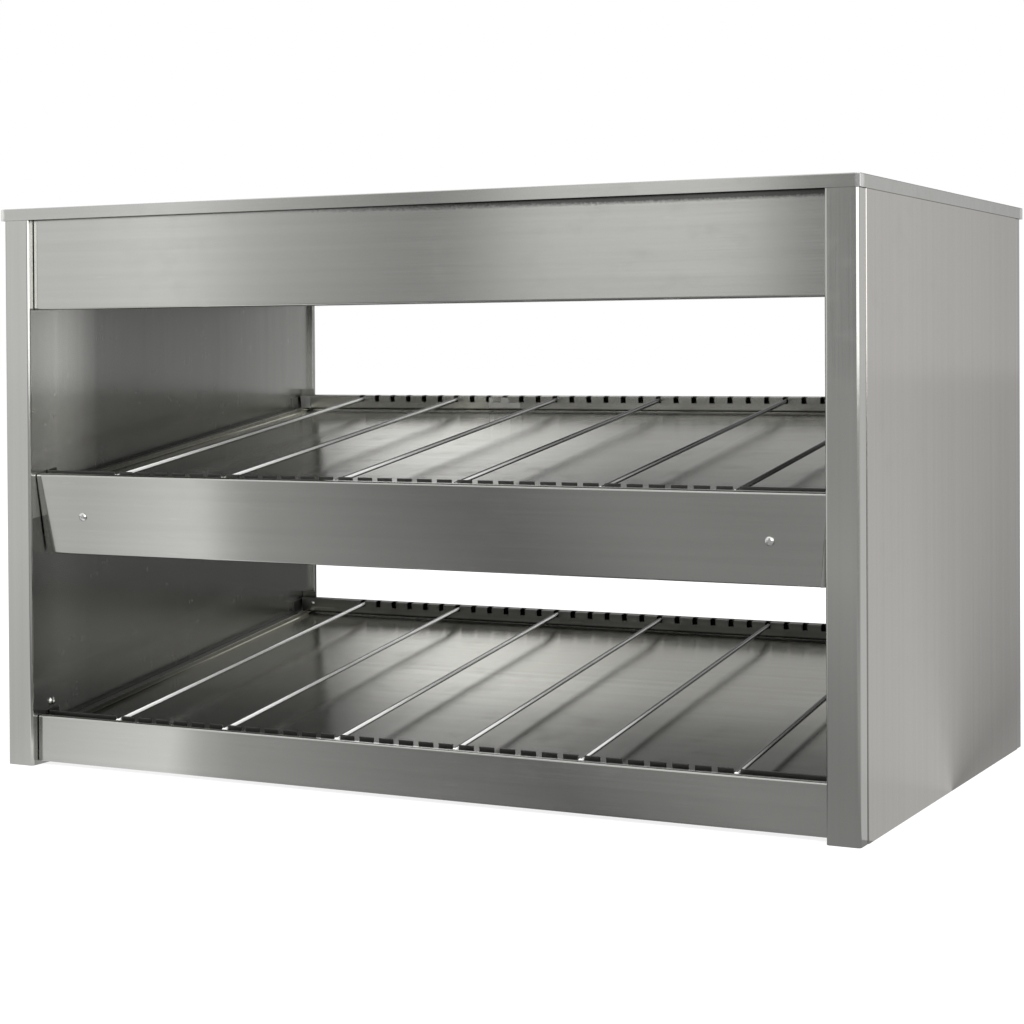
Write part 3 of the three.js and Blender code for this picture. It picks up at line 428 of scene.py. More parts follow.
# painted shadow along the joint where each rear rail meets its plate
railShadows = (  # the dark joint where each rear rail meets its plate
    ((0, 0.2518, 0.3702), (10, 0.005, 0.0044), (0.015, 0.015, 0.015)),
    ((0, 0.2518, 0.1092), (10, 0.005, 0.0044), (0.015, 0.015, 0.015)),
)
cornerWelds = (((-0.4825, 0.2855, 0.594), (0.006, 0.012, 0.013), (0.92, 0.92, 0.90)),)
plateTone = {
    "colour": (0.55, 0.55, 0.50), "darkColour": (0.49, 0.485, 0.43), "lineColour": (0.58, 0.58, 0.54),
    "patchColour": (0.46, 0.45, 0.39), "patchShare": 0.4, "roughness": 0.14, "bump": 0.02,
    "anisotropy": 0.97, "patchScale": 9.0,
}
# The dark band under the cover's lip
lipShadow = (((0.35, -0.2765, 0.5875), (0.5, 0.01, 0.0075), (0.12, 0.12, 0.115)),)
fasciaSteel = makeSteel("fascia_steel", lengthwise, spots=lipShadow)
postSteel = makeSteel(
    "post_steel", upright, anisotropy=0.3, roughness=0.1, scratchShare=0.06, tarnish=wallPaintedReflection,
)
coverSteel = makeSteel("cover_steel", lengthwise, spots=cornerWelds)
panelSteel = makeSteel(
    "side_panel_steel", upright, anisotropy=0.2, roughness=0.11,
    colour=(0.55, 0.527, 0.49), darkColour=(0.518, 0.495, 0.458),
)
railSteel = makeSteel(
    "rail_steel", innerTone, lengthwise, spots=railShadows,
    colour=(0.44, 0.44, 0.42), darkColour=(0.38, 0.38, 0.36),
)
# painted shade: rails that sit in shade get the dark copy
shadedRailSteel = makeSteel("shaded_rail_steel", shadeTone, lengthwise, spots=railShadows)
# painted shade: the ceilings and undersides get a darker copy of the inner steel
shadedCeilingSteel = makeSteel(
    "shaded_ceiling_steel", innerTone, lengthwise, colour=(0.32, 0.32, 0.305), darkColour=(0.27, 0.27, 0.25),
)
bracketSteel = makeSteel("bracket_steel", innerTone, crosswise)
# painted shade: the cover strips get the dark copy
stripSteel = makeSteel("strip_steel", shadeTone, crosswise)
plateSteel = makeSteel("plate_steel", plateTone, lengthwise, tarnish=platePaintedReflection)


def makeBright(name, colour, roughness, wear=0.2, metallic=1.0, sheenStops=None):
    material, tree, shader = startMaterial(name)
    marks = useGroup(tree, handling, {"Patch Scale": 30.0, "Smear Scale": 120.0})
    dull = tuple(0.7 * share for share in colour)
    share = addMath(tree, "MULTIPLY", marks.outputs["Patches"], wear)
    tone = addMix(tree, share, (*colour, 1), (*dull, 1))
    # painted sheen: the colour is scaled by how squarely the surface is seen
    if sheenStops:
        facing = addNode(tree, "LayerWeight", {"Blend": 0.5}).outputs["Facing"]
        tone = addMix(tree, 1.0, tone, addRamp(tree, facing, sheenStops), "MULTIPLY")
    rough = addRemap(tree, marks.outputs["Smears"], 0.0, 1.0, roughness, roughness + 0.12)
    feed(tree, shader, {"Base Color": tone, "Roughness": rough, "Metallic": metallic})
    return material


# Painted highlight down the middle of each rod and painted shade at its sides, by how squarely it faces the
# viewer
rodPaintedSheen = ((0.0, 1.0), (0.49, 1.0), (0.55, 0.4), (0.6, 0.05), (0.92, 0.04), (1.0, 0.3))
rodSteel = makeBright("drawn_rod_steel", (0.98, 0.98, 0.96), 0.12, 0.1, 0.15, rodPaintedSheen)
screwSteel = makeBright("polished_screw_steel", (0.82, 0.82, 0.80), 0.12)
splicePlate = makeBright("splice_plate_steel", (0.9, 0.9, 0.88), 0.3, 0.3, 0.4)
reflectorSteel = makeBright("reflector_steel", (0.55, 0.55, 0.535), 0.08, 0.35)
weldSteel = makeBright("ground_weld_steel", (0.94, 0.94, 0.92), 0.4, 0.9, 0.2)
brassMetal = makeBright("terminal_brass", (0.72, 0.52, 0.22), 0.25, 0.5)


def makeSheath():  # the heat leaves straw, brown and grey-blue rings
    material, tree, shader = startMaterial("heated_sheath")
    tint = stretchedNoise(tree, (9, 9, 9), 1.0, 3)
    ramp = addNode(tree, "ValToRGB", {"Fac": tint})
    tones = (
        (0.3, (0.11, 0.10, 0.095)), (0.48, (0.20, 0.16, 0.115)), (0.6, (0.16, 0.165, 0.18)),
        (0.75, (0.26, 0.24, 0.21)),
    )
    for place, tone in tones[:-1]:
        ramp.color_ramp.elements.new(place).color = (*tone, 1)
    ramp.color_ramp.elements[-1].color = (*tones[-1][1], 1)
    ramp.color_ramp.elements[0].color = (*tones[0][1], 1)
    scale = stretchedNoise(tree, (160, 160, 160), 1.0, 3)
    feed(tree, shader, {
        "Base Color": ramp.outputs["Color"], "Roughness": addRemap(tree, scale, 0.3, 0.7, 0.38, 0.6),
        "Normal": addBump(tree, 0.2, 0.0002, scale), "Metallic": 0.9,
    })
    return material


def makePlastic(name, colour, roughness, grainSize=2600.0, grainDepth=0.15):
    material, tree, shader = startMaterial(name)
    marks = useGroup(tree, handling, {"Patch Scale": 40.0, "Smear Scale": 160.0})
    pale = tuple(min(1.0, share * 1.25 + 0.012) for share in colour)
    share = addMath(tree, "MULTIPLY", marks.outputs["Patches"], 0.5)
    spark = stretchedNoise(tree, (1, 1, 1), grainSize, 2)
    feed(tree, shader, {
        "Base Color": addMix(tree, share, (*colour, 1), (*pale, 1)),
        "Roughness": addRemap(tree, marks.outputs["Smears"], 0.0, 1.0, roughness, roughness - 0.1),
        "Normal": addBump(tree, grainDepth, 0.0001, spark),
    })
    return material


def makeWool():
    material, tree, shader = startMaterial("pressed_mineral_wool")
    fibres = stretchedNoise(tree, (90, 700, 500), 1.0, 4, 0.7)
    clumps = stretchedNoise(tree, (1, 1, 1), 30.0, 3)
    ramp = addNode(tree, "ValToRGB", {"Fac": fibres})
    ramp.color_ramp.elements[0].color = (0.42, 0.36, 0.22, 1)
    ramp.color_ramp.elements[1].color = (0.74, 0.70, 0.56, 1)
    clumped = addMath(tree, "MULTIPLY", clumps, 0.4)
    feed(tree, shader, {
        "Base Color": addMix(tree, clumped, ramp.outputs["Color"], (0.5, 0.46, 0.34, 1)),
        "Normal": addBump(tree, 0.6, 0.001, fibres), "Roughness": 0.95,
    })
    return material


sheathMetal = makeSheath()
woolBoard = makeWool()
blackMoulding = makePlastic("black_moulding", (0.02, 0.02, 0.021), 0.42)
glandRubber = makePlastic("gland_rubber", (0.012, 0.012, 0.012), 0.62)
paleMoulding = makePlastic("pale_moulding", (0.74, 0.72, 0.66), 0.45, 1500.0, 0.08)
whitePrint = makePlastic("white_print", (0.82, 0.82, 0.80), 0.5, 1800.0, 0.05)
darkPrint = makePlastic("dark_print", (0.03, 0.03, 0.032), 0.5, 1800.0, 0.05)
amberLens = makePlastic("amber_lens", (0.75, 0.30, 0.05), 0.12, 300.0, 0.03)
amberLens.node_tree.nodes["Principled BSDF"].inputs["Coat Weight"].default_value = 0.6
print("finishes ready")


# Sheet metal: each part is taken from the CAD solid, merged, and its cut edges are rounded
solidValues = {"merge": 0.00001, "flat": math.radians(1)}


def takeSolid(node, edgeRound, segments=2):
    piece = copyPiece(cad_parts[node])
    for key in list(piece.keys()):
        del piece[key]
    piece.parent = None
    bpy.ops.mesh.customdata_custom_splitnormals_clear()
    openMesh(piece, "VERT", "SELECT")
    bpy.ops.mesh.remove_doubles(threshold=solidValues["merge"])
    bpy.ops.mesh.dissolve_limited(angle_limit=solidValues["flat"])
    closeMesh()
    softenEdges(piece, edgeRound, segments)
    return piece


sheetParts = (  # steel, slot, width of the rounded edges, and the parts
    (postSteel, "brushed_steel", 0.0002, ("left_side_frame", "right_side_frame")),
    (panelSteel, "brushed_steel", 0.0002, ("left_side_panel", "right_side_panel")),
    (coverSteel, "brushed_steel", 0.00025, ("top_cover",)),
    (fasciaSteel, "brushed_steel", 0.0002, (
        "canopy_front_fascia", "canopy_rear_fascia", "upper_shelf_fascia", "base_front_fascia",
        "upper_shelf_rear_panel", "rear_control_panel",
    )),
    (shadedCeilingSteel, "inner_steel", 0.0002, ("canopy_ceiling", "upper_shelf_underside", "base_bottom_cover")),
    (reflectorSteel, "bright_steel", 0.00015, ("canopy_reflector", "upper_shelf_reflector")),
    (plateSteel, "plate_steel", 0.0003, ("upper_shelf_plate", "lower_shelf_plate")),
    (shadedRailSteel, "inner_steel", 0.0002, ("upper_front_rail",)),
    (railSteel, "inner_steel", 0.0002, ("upper_rear_rail",)),
    (shadedRailSteel, "inner_steel", 0.0002, ("lower_front_rail", "lower_rear_rail")),
    (bracketSteel, "inner_steel", 0.0002, (
        "upper_left_bracket", "upper_right_bracket", "lower_left_bracket", "lower_right_bracket",
        "left_base_channel", "right_base_channel",
    )),
)
for material, slotName, edgeRound, nodes in sheetParts:
    for node in nodes:
        dress(takeSolid(node, edgeRound), node + "_sheet", material, "case", (node,))
print("sheet metal done")


# Divider rods: one is turned, and each place on the rails gets its own copy
rodValues = {"radius": 0.0025, "endRound": 0.0009, "sides": 40, "number": 6, "endBand": 0.0001}


def turnRod():
    low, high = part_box("upper_divider_rod_1")
    rise = high.z - low.z - 2 * rodValues["radius"] * math.cos(tierSlope)
    length = rise / math.sin(tierSlope)
    rod = addDisc(rodValues["radius"], length, (0, 0, 0), rodValues["sides"])
    end = length / 2 - rodValues["endBand"]
    openMesh(rod, "EDGE")
    selectEdges(rod, lambda a, b: abs(a.y) > end and abs(b.y) > end and a.y * b.y > 0)
    bpy.ops.mesh.bevel(offset=rodValues["endRound"], segments=3, affect="EDGES")
    closeMesh()
    smooth(rod, 40)
    rod.rotation_euler.x = tierSlope
    settle(rod)
    return rod


masterRod = turnRod()
for tier in tiers:
    for number in range(1, rodValues["number"] + 1):
        rod = copyPiece(masterRod)
        rod.location = middle(f"{tier}_divider_rod_{number}")
        dress(
            rod, f"{tier}_rod_{number}_bar", rodSteel,
            f"{tier}_rod_{number}", (f"{tier}_divider_rod_{number}",),
        )
bpy.data.objects.remove(masterRod)
print("divider rods done")


# Dome-head screws with a cross recess
screwValues = {
    "headRadius": 0.0047, "headHeight": 0.0026, "shankRadius": 0.0024, "shankLength": 0.007,
    "crossLength": 0.0046, "crossWidth": 0.00095, "crossDepth": 0.0014, "edge": 0.00012,
}


def makeScrew():  # head towards -Y, seat at 0
    head = addDome(48, 1, 0, 1)
    selectFaces(head, lambda centre, normal: normal.y > 0.9 and abs(centre.y) < 0.001)
    inset = 1 - screwValues["shankRadius"] / screwValues["headRadius"]
    bpy.ops.mesh.inset(thickness=inset)
    extrude(0, screwValues["shankLength"] / screwValues["headHeight"], 0)
    closeMesh()
    head.scale = (screwValues["headRadius"], screwValues["headHeight"], screwValues["headRadius"])
    settle(head)
    half = screwValues["crossLength"] / 2
    thin = screwValues["crossWidth"] / 2
    floor = screwValues["crossDepth"] - screwValues["headHeight"]
    front = -2 * screwValues["headHeight"]
    carve(head, addBox((-half, front, -thin), (half, floor, thin)))
    carve(head, addBox((-thin, front, -half), (thin, floor, half)))
    softenEdges(head, screwValues["edge"], 2, 40, 45)
    return head


screwPlaces = {  # lean with the tier, turn of the cross, and turn to its wall
    "left_fascia_screw": (tierSlope, 0.5, 0),
    "right_fascia_screw": (tierSlope, 0.25, 0),
    "left_wall_screw": (0, 0.3, math.pi / 2),
    "right_wall_screw": (0, 0.7, -math.pi / 2),
}
masterScrew = makeScrew()
for node, (lean, spin, side) in screwPlaces.items():
    screw = copyPiece(masterScrew)
    turn = Matrix.Rotation(side, 3, "Z") @ Matrix.Rotation(lean, 3, "X") @ Matrix.Rotation(spin, 3, "Y")
    screw.data.transform(turn.to_4x4())
    seat = (screwValues["shankLength"] - screwValues["headHeight"]) / 2
    screw.location = middle(node) - turn @ Vector((0, seat, 0))
    dress(screw, node + "_head", screwSteel, "case", (node,))
bpy.data.objects.remove(masterScrew)
print("screws done")


# Heating elements: a bent line is drawn, its corners are rounded, and it gets its tube
elementValues = {
    "radius": 0.004, "bendSteps": 14, "overheadBend": 0.014, "plateBend": 0.065,
    "firstRun": -0.195, "runSpacing": 0.13, "runs": 4, "roundSteps": 6, "merge": 0.0001,
}


def bendElement(node, corners, bendRadius, turn):
    line = addShape(bpy.ops.mesh.primitive_plane_add, size=0.01)
    openMesh(line, "VERT", "SELECT")
    bpy.ops.mesh.merge(type="CENTER")
    at = Vector((0, 0, 0))
    for corner in corners:
        step = Vector(corner) - at
        if corner is corners[0]:
            bpy.ops.transform.translate(value=step)
        else:
            extrude(*step)
        at = Vector(corner)
    mesh = bmesh.from_edit_mesh(line.data)
    for vertex in mesh.verts:
        vertex.select_set(len(vertex.link_edges) == 2)
    bmesh.update_edit_mesh(line.data)
    bpy.ops.mesh.bevel(
        offset=bendRadius, segments=elementValues["bendSteps"], affect="VERTICES", clamp_overlap=True,
    )
    bpy.ops.mesh.select_all(action="SELECT")
    bpy.ops.mesh.remove_doubles(threshold=elementValues["merge"])
    closeMesh()
    pick(line)
    bpy.ops.object.convert(target="CURVE")
    tube = bpy.context.object
    tube.data.bevel_depth = elementValues["radius"]
    tube.data.bevel_resolution = elementValues["roundSteps"]
    tube.data.use_fill_caps = True
    bpy.ops.object.convert(target="MESH")
    tube = bpy.context.object
    openMesh(tube, "FACE", "SELECT")
    bpy.ops.mesh.normals_make_consistent(inside=False)
    closeMesh()
    tube.rotation_euler.x = turn
    settle(tube)
    smooth(tube, 40)
    low, high = (Vector(tube.bound_box[0]), Vector(tube.bound_box[6]))
    tube.location = middle(node) - (low + high) / 2
    dress(tube, node + "_tube", sheathMetal, "case", (node,))


low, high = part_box("canopy_heating_element")
reach = (high.x - low.x) / 2 - elementValues["radius"]
tall = high.z - low.z - elementValues["radius"]
overheadCorners = [(-reach, 0, tall), (-reach, 0, 0), (reach, 0, 0), (reach, 0, tall)]
bendElement("canopy_heating_element", overheadCorners, elementValues["overheadBend"], 0)
bendElement("upper_shelf_overhead_element", overheadCorners, elementValues["overheadBend"], tierSlope)
for tier in tiers:
    node = tier + "_plate_element"
    low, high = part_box(node)
    reach = (high.x - low.x) / 2 - elementValues["radius"]
    plateCorners = []
    for run in range(elementValues["runs"]):
        y = elementValues["firstRun"] + elementValues["runSpacing"] * run
        way = 1 if run % 2 == 0 else -1
        plateCorners += [(-way * reach, y, 0), (way * reach, y, 0)]
    bendElement(node, plateCorners, elementValues["plateBend"], tierSlope)
print("elements done")


# Insulation: pressed boards with crumbled edges
boardValues = {"cut": 24, "crumble": 0.0009, "edge": 0.003}
crumbs = bpy.data.textures.new("board_crumbs", "CLOUDS")
crumbs.noise_scale = 0.02
for side in ("left", "right"):
    low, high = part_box(side + "_insulation")
    inset = Vector((1, 1, 1)) * boardValues["crumble"]
    board = addBox(low + inset, high - inset)
    roundEdges(board, boardValues["edge"], 3)
    openMesh(board, "FACE", "SELECT")
    bpy.ops.mesh.subdivide(number_cuts=boardValues["cut"])
    closeMesh()
    applyModifier(board, "DISPLACE", texture=crumbs, strength=boardValues["crumble"], mid_level=0.5)
    smooth(board, 60)
    dress(board, side + "_insulation_board", woolBoard, "case", (side + "_insulation",))
print("insulation done")


# Heat knobs: skirt, fluted grip and pointer
knobValues = {
    "skirtRadius": 0.017, "skirtHeight": 0.0024, "gripRadius": 0.0143, "gripTopRadius": 0.0132,
    "height": 0.013, "flutes": 24, "fluteDepth": 0.0007, "pointerWidth": 0.0046, "pointerRise": 0.0023,
    "pointerTaper": (0.6, 1, 0.94), "markWidth": 0.0011, "markLength": 0.009, "markSunk": 0.0003,
    "markRaised": 0.00002, "markEnd": 0.9, "skirtEdge": 0.0006, "gripEdge": 0.0003,
    "pointerEdge": 0.0005, "markEdge": 0.00008,
}


def makeKnob():  # axis along Y, base at 0, pointer up
    base, top = knobValues["skirtHeight"], knobValues["height"]
    skirt = addDisc(knobValues["skirtRadius"], base, (0, base / 2, 0), 72)
    roundEdges(skirt, knobValues["skirtEdge"], 3, 40)
    facets = 2 * knobValues["flutes"]
    grip = addDisc(knobValues["gripRadius"], top - base, (0, base + (top - base) / 2, 0), facets)
    shrink = knobValues["gripTopRadius"] / knobValues["gripRadius"]
    taperTop(grip, (shrink, 1, shrink))
    addFlutes(grip, facets, knobValues["gripEdge"], knobValues["fluteDepth"])
    half, reach, rise = knobValues["pointerWidth"] / 2, knobValues["gripTopRadius"], knobValues["pointerRise"]
    pointer = addBox((-half, top - rise, -reach), (half, top + rise, reach))
    taperTop(pointer, knobValues["pointerTaper"])
    roundEdges(pointer, knobValues["pointerEdge"], 3, 30)
    knob = joinPieces([skirt, grip, pointer])
    smooth(knob, 40)
    return knob


def makeKnobMark():
    half = knobValues["markWidth"] / 2
    top = knobValues["height"] + knobValues["pointerRise"]
    high = knobValues["gripTopRadius"] * knobValues["markEnd"]
    low = (-half, top - knobValues["markSunk"], high - knobValues["markLength"])
    mark = addBox(low, (half, top + knobValues["markRaised"], high))
    softenEdges(mark, knobValues["markEdge"], 2, 30, 40)
    return mark


masterKnob = makeKnob()
masterMark = makeKnobMark()
knobPlaces = {}
for tier in tiers:
    low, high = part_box(tier + "_heat_knob")
    place = Vector(((low.x + high.x) / 2, low.y, (low.z + high.z) / 2))
    knobPlaces[tier] = place
    knob = copyPiece(masterKnob)
    knob.location = place
    dress(knob, tier + "_knob_grip", blackMoulding, tier + "_knob", (tier + "_heat_knob",))
    mark = copyPiece(masterMark)
    mark.location = place
    dress(mark, tier + "_knob_mark", whitePrint, tier + "_knob")
bpy.data.objects.remove(masterKnob)
bpy.data.objects.remove(masterMark)


# Dial print round each knob: ticks, and plain numbers from 0 to 6
dialValues = {
    "tickRadius": 0.0192, "tickLength": 0.0016, "tickWidth": 0.0005, "thickness": 0.00008,
    "numberRadius": 0.0232, "numberSize": 0.0042, "steps": 6, "sweep": 270,
}
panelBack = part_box("rear_control_panel")[1].y
panelDepth, seatGap = 0.0015, 0.0003  # the panel's sheet with a seat gap, and the gap alone


def printDial(tier, place):  # seen from behind, the knob turns clockwise from step 0
    marks = []
    half, near = dialValues["tickWidth"] / 2, dialValues["tickRadius"]
    for step in range(dialValues["steps"] + 1):
        angle = math.radians(dialValues["sweep"] * step / dialValues["steps"])
        tick = addBox((-half, 0, near), (half, dialValues["thickness"], near + dialValues["tickLength"]))
        tick.data.transform(Matrix.Rotation(-angle, 4, "Y"))
        marks.append(tick)
        deselectAll()
        bpy.ops.object.text_add(location=(0, 0, 0))
        number = bpy.context.object
        number.data.body = str(step)
        number.data.size = dialValues["numberSize"]
        number.data.align_x = "CENTER"
        number.data.align_y = "CENTER"
        number.data.extrude = dialValues["thickness"] / 2
        pick(number)
        bpy.ops.object.convert(target="MESH")
        number = bpy.context.object
        number.rotation_euler = (math.pi / 2, 0, math.pi)
        away = dialValues["numberRadius"]
        number.location = (-math.sin(angle) * away, dialValues["thickness"] / 2, math.cos(angle) * away)
        settle(number)
        marks.append(number)
    dial = joinPieces(marks)
    dial.location = (place.x, panelBack, place.z)
    dress(dial, tier + "_dial_print", darkPrint)


for tier, place in knobPlaces.items():
    printDial(tier, place)
print("knobs and dials done")


# Thermostats: body, mounting plate, spade terminals and shaft
thermostatValues = {
    "plate": 0.0012, "bodyInset": 0.002, "rimWidth": 0.003, "rimDepth": 0.002, "bodyEdge": 0.0008,
    "shaftRadius": 0.003, "metalEdge": 0.0003, "spadeWidth": 0.0045, "spadeThickness": 0.0008,
    "spadeLength": 0.0055, "spadeSunk": 0.002, "spadeSpread": 0.008, "spadeEdge": 0.00015,
}
for tier in tiers:
    node = tier + "_thermostat"
    low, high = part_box(node)
    centre = (low + high) / 2
    bodyBack = panelBack - panelDepth
    bodyFront = low.y + thermostatValues["spadeLength"]
    plateFront, inset = bodyBack - thermostatValues["plate"], thermostatValues["bodyInset"]
    body = addBox((low.x + inset, bodyFront, low.z + inset), (high.x - inset, plateFront, high.z - inset))
    openMesh(body)
    selectFaces(body, lambda centre, normal: normal.y < -0.9)
    bpy.ops.mesh.inset(thickness=thermostatValues["rimWidth"])
    extrude(0, thermostatValues["rimDepth"], 0)
    closeMesh()
    softenEdges(body, thermostatValues["bodyEdge"], 3)
    dress(body, tier + "_thermostat_body", paleMoulding, "case", (node,))
    bracket = addBox((low.x, plateFront, low.z), (high.x, bodyBack, high.z))
    shaftPlace = (centre.x, (high.y + bodyBack) / 2, centre.z)
    shaft = addDisc(thermostatValues["shaftRadius"], high.y - bodyBack, shaftPlace, 32)
    spades = []
    half, thin = thermostatValues["spadeWidth"] / 2, thermostatValues["spadeThickness"] / 2
    sunk = bodyFront + thermostatValues["spadeSunk"]
    for column in (-1, 1):
        for row in (-1, 1):
            x = centre.x + column * thermostatValues["spadeSpread"]
            z = centre.z + row * thermostatValues["spadeSpread"]
            spades.append(addBox((x - half, low.y, z - thin), (x + half, sunk, z + thin)))
    metal = joinPieces([bracket, shaft])
    softenEdges(metal, thermostatValues["metalEdge"])
    dress(metal, tier + "_thermostat_shaft", screwSteel)
    blades = joinPieces(spades)
    softenEdges(blades, thermostatValues["spadeEdge"])
    dress(blades, tier + "_thermostat_spades", brassMetal)
print("thermostats done")


# Pilot lamps: body, flange and a ribbed amber cap
lampValues = {
    "flangeRadius": 0.0075, "flangeHeight": 0.0016, "bodyRadius": 0.0055, "edge": 0.0004,
    "capRadius": 0.005, "capSides": 48, "ribDepth": 0.0002,
}
for tier in tiers:
    node = tier + "_pilot_lamp"
    low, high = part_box(node)
    centre = (low + high) / 2
    seat, tall = panelBack + seatGap, lampValues["flangeHeight"]
    flange = addDisc(lampValues["flangeRadius"], tall, (centre.x, seat + tall / 2, centre.z), 56)
    roundEdges(flange, lampValues["edge"], 3, 40)
    bodyPlace = (centre.x, (seat + low.y) / 2, centre.z)
    body = addDisc(lampValues["bodyRadius"], seat - low.y, bodyPlace, 40)
    roundEdges(body, lampValues["edge"], 2, 40)
    socket = joinPieces([flange, body])
    smooth(socket, 40)
    dress(socket, tier + "_lamp_body", blackMoulding)
    cap = addDome(lampValues["capSides"], lampValues["capRadius"], 0, -1)
    selectFaces(
        cap, lambda centre, normal: 0.05 < normal.y < 0.75 and everyOther(centre, lampValues["capSides"]),
    )
    bpy.ops.transform.shrink_fatten(value=-lampValues["ribDepth"])
    closeMesh()
    smooth(cap, 60)
    cap.location = (centre.x, seat + tall, centre.z)
    dress(cap, tier + "_lamp_cap", amberLens, "case", (node,))
print("pilot lamps done")


# Power switch: a framed housing, and a rocker with plain on and off marks
switchValues = {
    "thickness": 0.00006, "barWidth": 0.0009, "barHeight": 0.0042, "ringRadius": 0.0021, "ringWire": 0.00042,
    "sunk": 0.0001, "barEdge": 0.00003, "frameEdge": 0.0004, "keyEdge": 0.0006,
    "onPlace": (0.372, 0.2629, 0.06315), "onLean": -0.2937,
    "offPlace": (0.372, 0.2608, 0.0510), "offLean": -0.0484,
}
housing = takeSolid("power_switch_housing", switchValues["frameEdge"], 3)
dress(housing, "power_switch_frame", blackMoulding, "case", ("power_switch_housing",))
rocker = takeSolid("power_switch_rocker", switchValues["keyEdge"], 4)
dress(rocker, "power_rocker_key", blackMoulding, "power_rocker", ("power_switch_rocker",))
halfWidth, halfHeight = switchValues["barWidth"] / 2, switchValues["barHeight"] / 2
onMark = addBox(
    (-halfWidth, -switchValues["sunk"], -halfHeight), (halfWidth, switchValues["thickness"], halfHeight),
)
roundEdges(onMark, switchValues["barEdge"])
offMark = addRing(switchValues["ringRadius"], switchValues["ringWire"], 8)
offMark.scale.y = 2 * switchValues["thickness"] / switchValues["ringWire"]
settle(offMark)
for mark, name in ((onMark, "on"), (offMark, "off")):
    smooth(mark, 40)
    mark.rotation_euler.x = switchValues[name + "Lean"]
    mark.location = switchValues[name + "Place"]
    dress(mark, f"power_rocker_{name}_mark", whitePrint, "power_rocker")
print("switch done")


# Cable gland: hexagon, thread, lock nut, a tapered nose with grip ribs, and a rubber ring
glandValues = {
    "hexRadius": 0.013, "hexHeight": 0.007, "hexEdge": 0.0006, "nutRadius": 0.0124, "noseRadius": 0.0082,
    "noseEdge": 0.0003, "bore": 0.0052, "boreLength": 0.08, "ribs": 20, "ribDepth": 0.0005,
    "threadRadius": 0.0095, "lockNutHeight": 0.005, "ringRadius": 0.0064, "ringWire": 0.0013,
    "ringSunk": 0.0015,
}
low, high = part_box("cable_gland")
glandCentre = (low + high) / 2


def onGland(y):
    return Vector((glandCentre.x, y, glandCentre.z))


glandSeat, hexTop = panelBack + seatGap, panelBack + seatGap + glandValues["hexHeight"]
hexPlace = onGland(glandSeat + glandValues["hexHeight"] / 2)
hexagon = addDisc(glandValues["hexRadius"], glandValues["hexHeight"], hexPlace, 6)
roundEdges(hexagon, glandValues["hexEdge"], 3, 40)
facets = 2 * glandValues["ribs"]
noseLength = high.y - hexTop
nose = addDisc(glandValues["nutRadius"], noseLength, onGland(high.y - noseLength / 2), facets)
shrink = glandValues["noseRadius"] / glandValues["nutRadius"]
taperTop(nose, (shrink, 1, shrink), center_override=onGland(high.y))
addFlutes(nose, facets, glandValues["noseEdge"], glandValues["ribDepth"], glandCentre)
threadLength = glandSeat - low.y
thread = addDisc(glandValues["threadRadius"], threadLength, onGland(low.y + threadLength / 2))
lockNutPlace = onGland(panelBack - panelDepth - glandValues["lockNutHeight"] / 2)
lockNut = addDisc(glandValues["hexRadius"], glandValues["lockNutHeight"], lockNutPlace, 6)
roundEdges(lockNut, glandValues["hexEdge"], 3, 40)
for part in (hexagon, nose, thread, lockNut):
    carve(part, addDisc(glandValues["bore"], glandValues["boreLength"], glandCentre, 40))
gland = joinPieces([hexagon, nose, thread, lockNut])
smooth(gland, 40)
dress(gland, "cable_gland_nuts", blackMoulding, "case", ("cable_gland",))
ringPlace = onGland(high.y - glandValues["ringSunk"])
ring = addRing(glandValues["ringRadius"], glandValues["ringWire"], 14, ringPlace)
smooth(ring, 60)
dress(ring, "cable_gland_ring", glandRubber)
print("gland done")


# Terminal block: moulded poles with brass clamps and screws
blockValues = {
    "poles": 5, "clampRadius": 0.0028, "clampBore": 0.0019, "clampLength": 0.027, "clampHeight": 0.018,
    "screwRadius": 0.0023, "screwHeight": 0.0009, "screwSpread": 0.0095, "slotWidth": 0.0007,
    "slotRise": 0.002, "bodyEdge": 0.0003, "metalEdge": 0.00012,
}
block = takeSolid("terminal_block", blockValues["bodyEdge"])
dress(block, "terminal_block_body", paleMoulding, "case", ("terminal_block",))
low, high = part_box("terminal_block")
across = (high.x - low.x) / blockValues["poles"]
midY = (low.y + high.y) / 2
half, reach = blockValues["slotWidth"] / 2, 2 * blockValues["screwRadius"]
clamps, heads = [], []
for pole in range(blockValues["poles"]):
    x = low.x + across * (pole + 0.5)
    place = (x, midY, blockValues["clampHeight"])
    clamp = addDisc(blockValues["clampRadius"], blockValues["clampLength"], place, 40)
    carve(clamp, addDisc(blockValues["clampBore"], 2 * blockValues["clampLength"], place, 32))
    clamps.append(clamp)
    for way in (-1, 1):
        y = midY + way * blockValues["screwSpread"]
        head = addDisc(blockValues["screwRadius"], blockValues["screwHeight"], (x, y, high.z), 32, "z")
        slotTop = high.z + blockValues["slotRise"]
        carve(head, addBox((x - reach, y - half, high.z), (x + reach, y + half, slotTop)))
        heads.append(head)
for pieces, name, material in ((clamps, "clamps", brassMetal), (heads, "screws", screwSteel)):
    metal = joinPieces(pieces)
    softenEdges(metal, blockValues["metalEdge"])
    dress(metal, "terminal_block_" + name, material)
print("terminal block done")


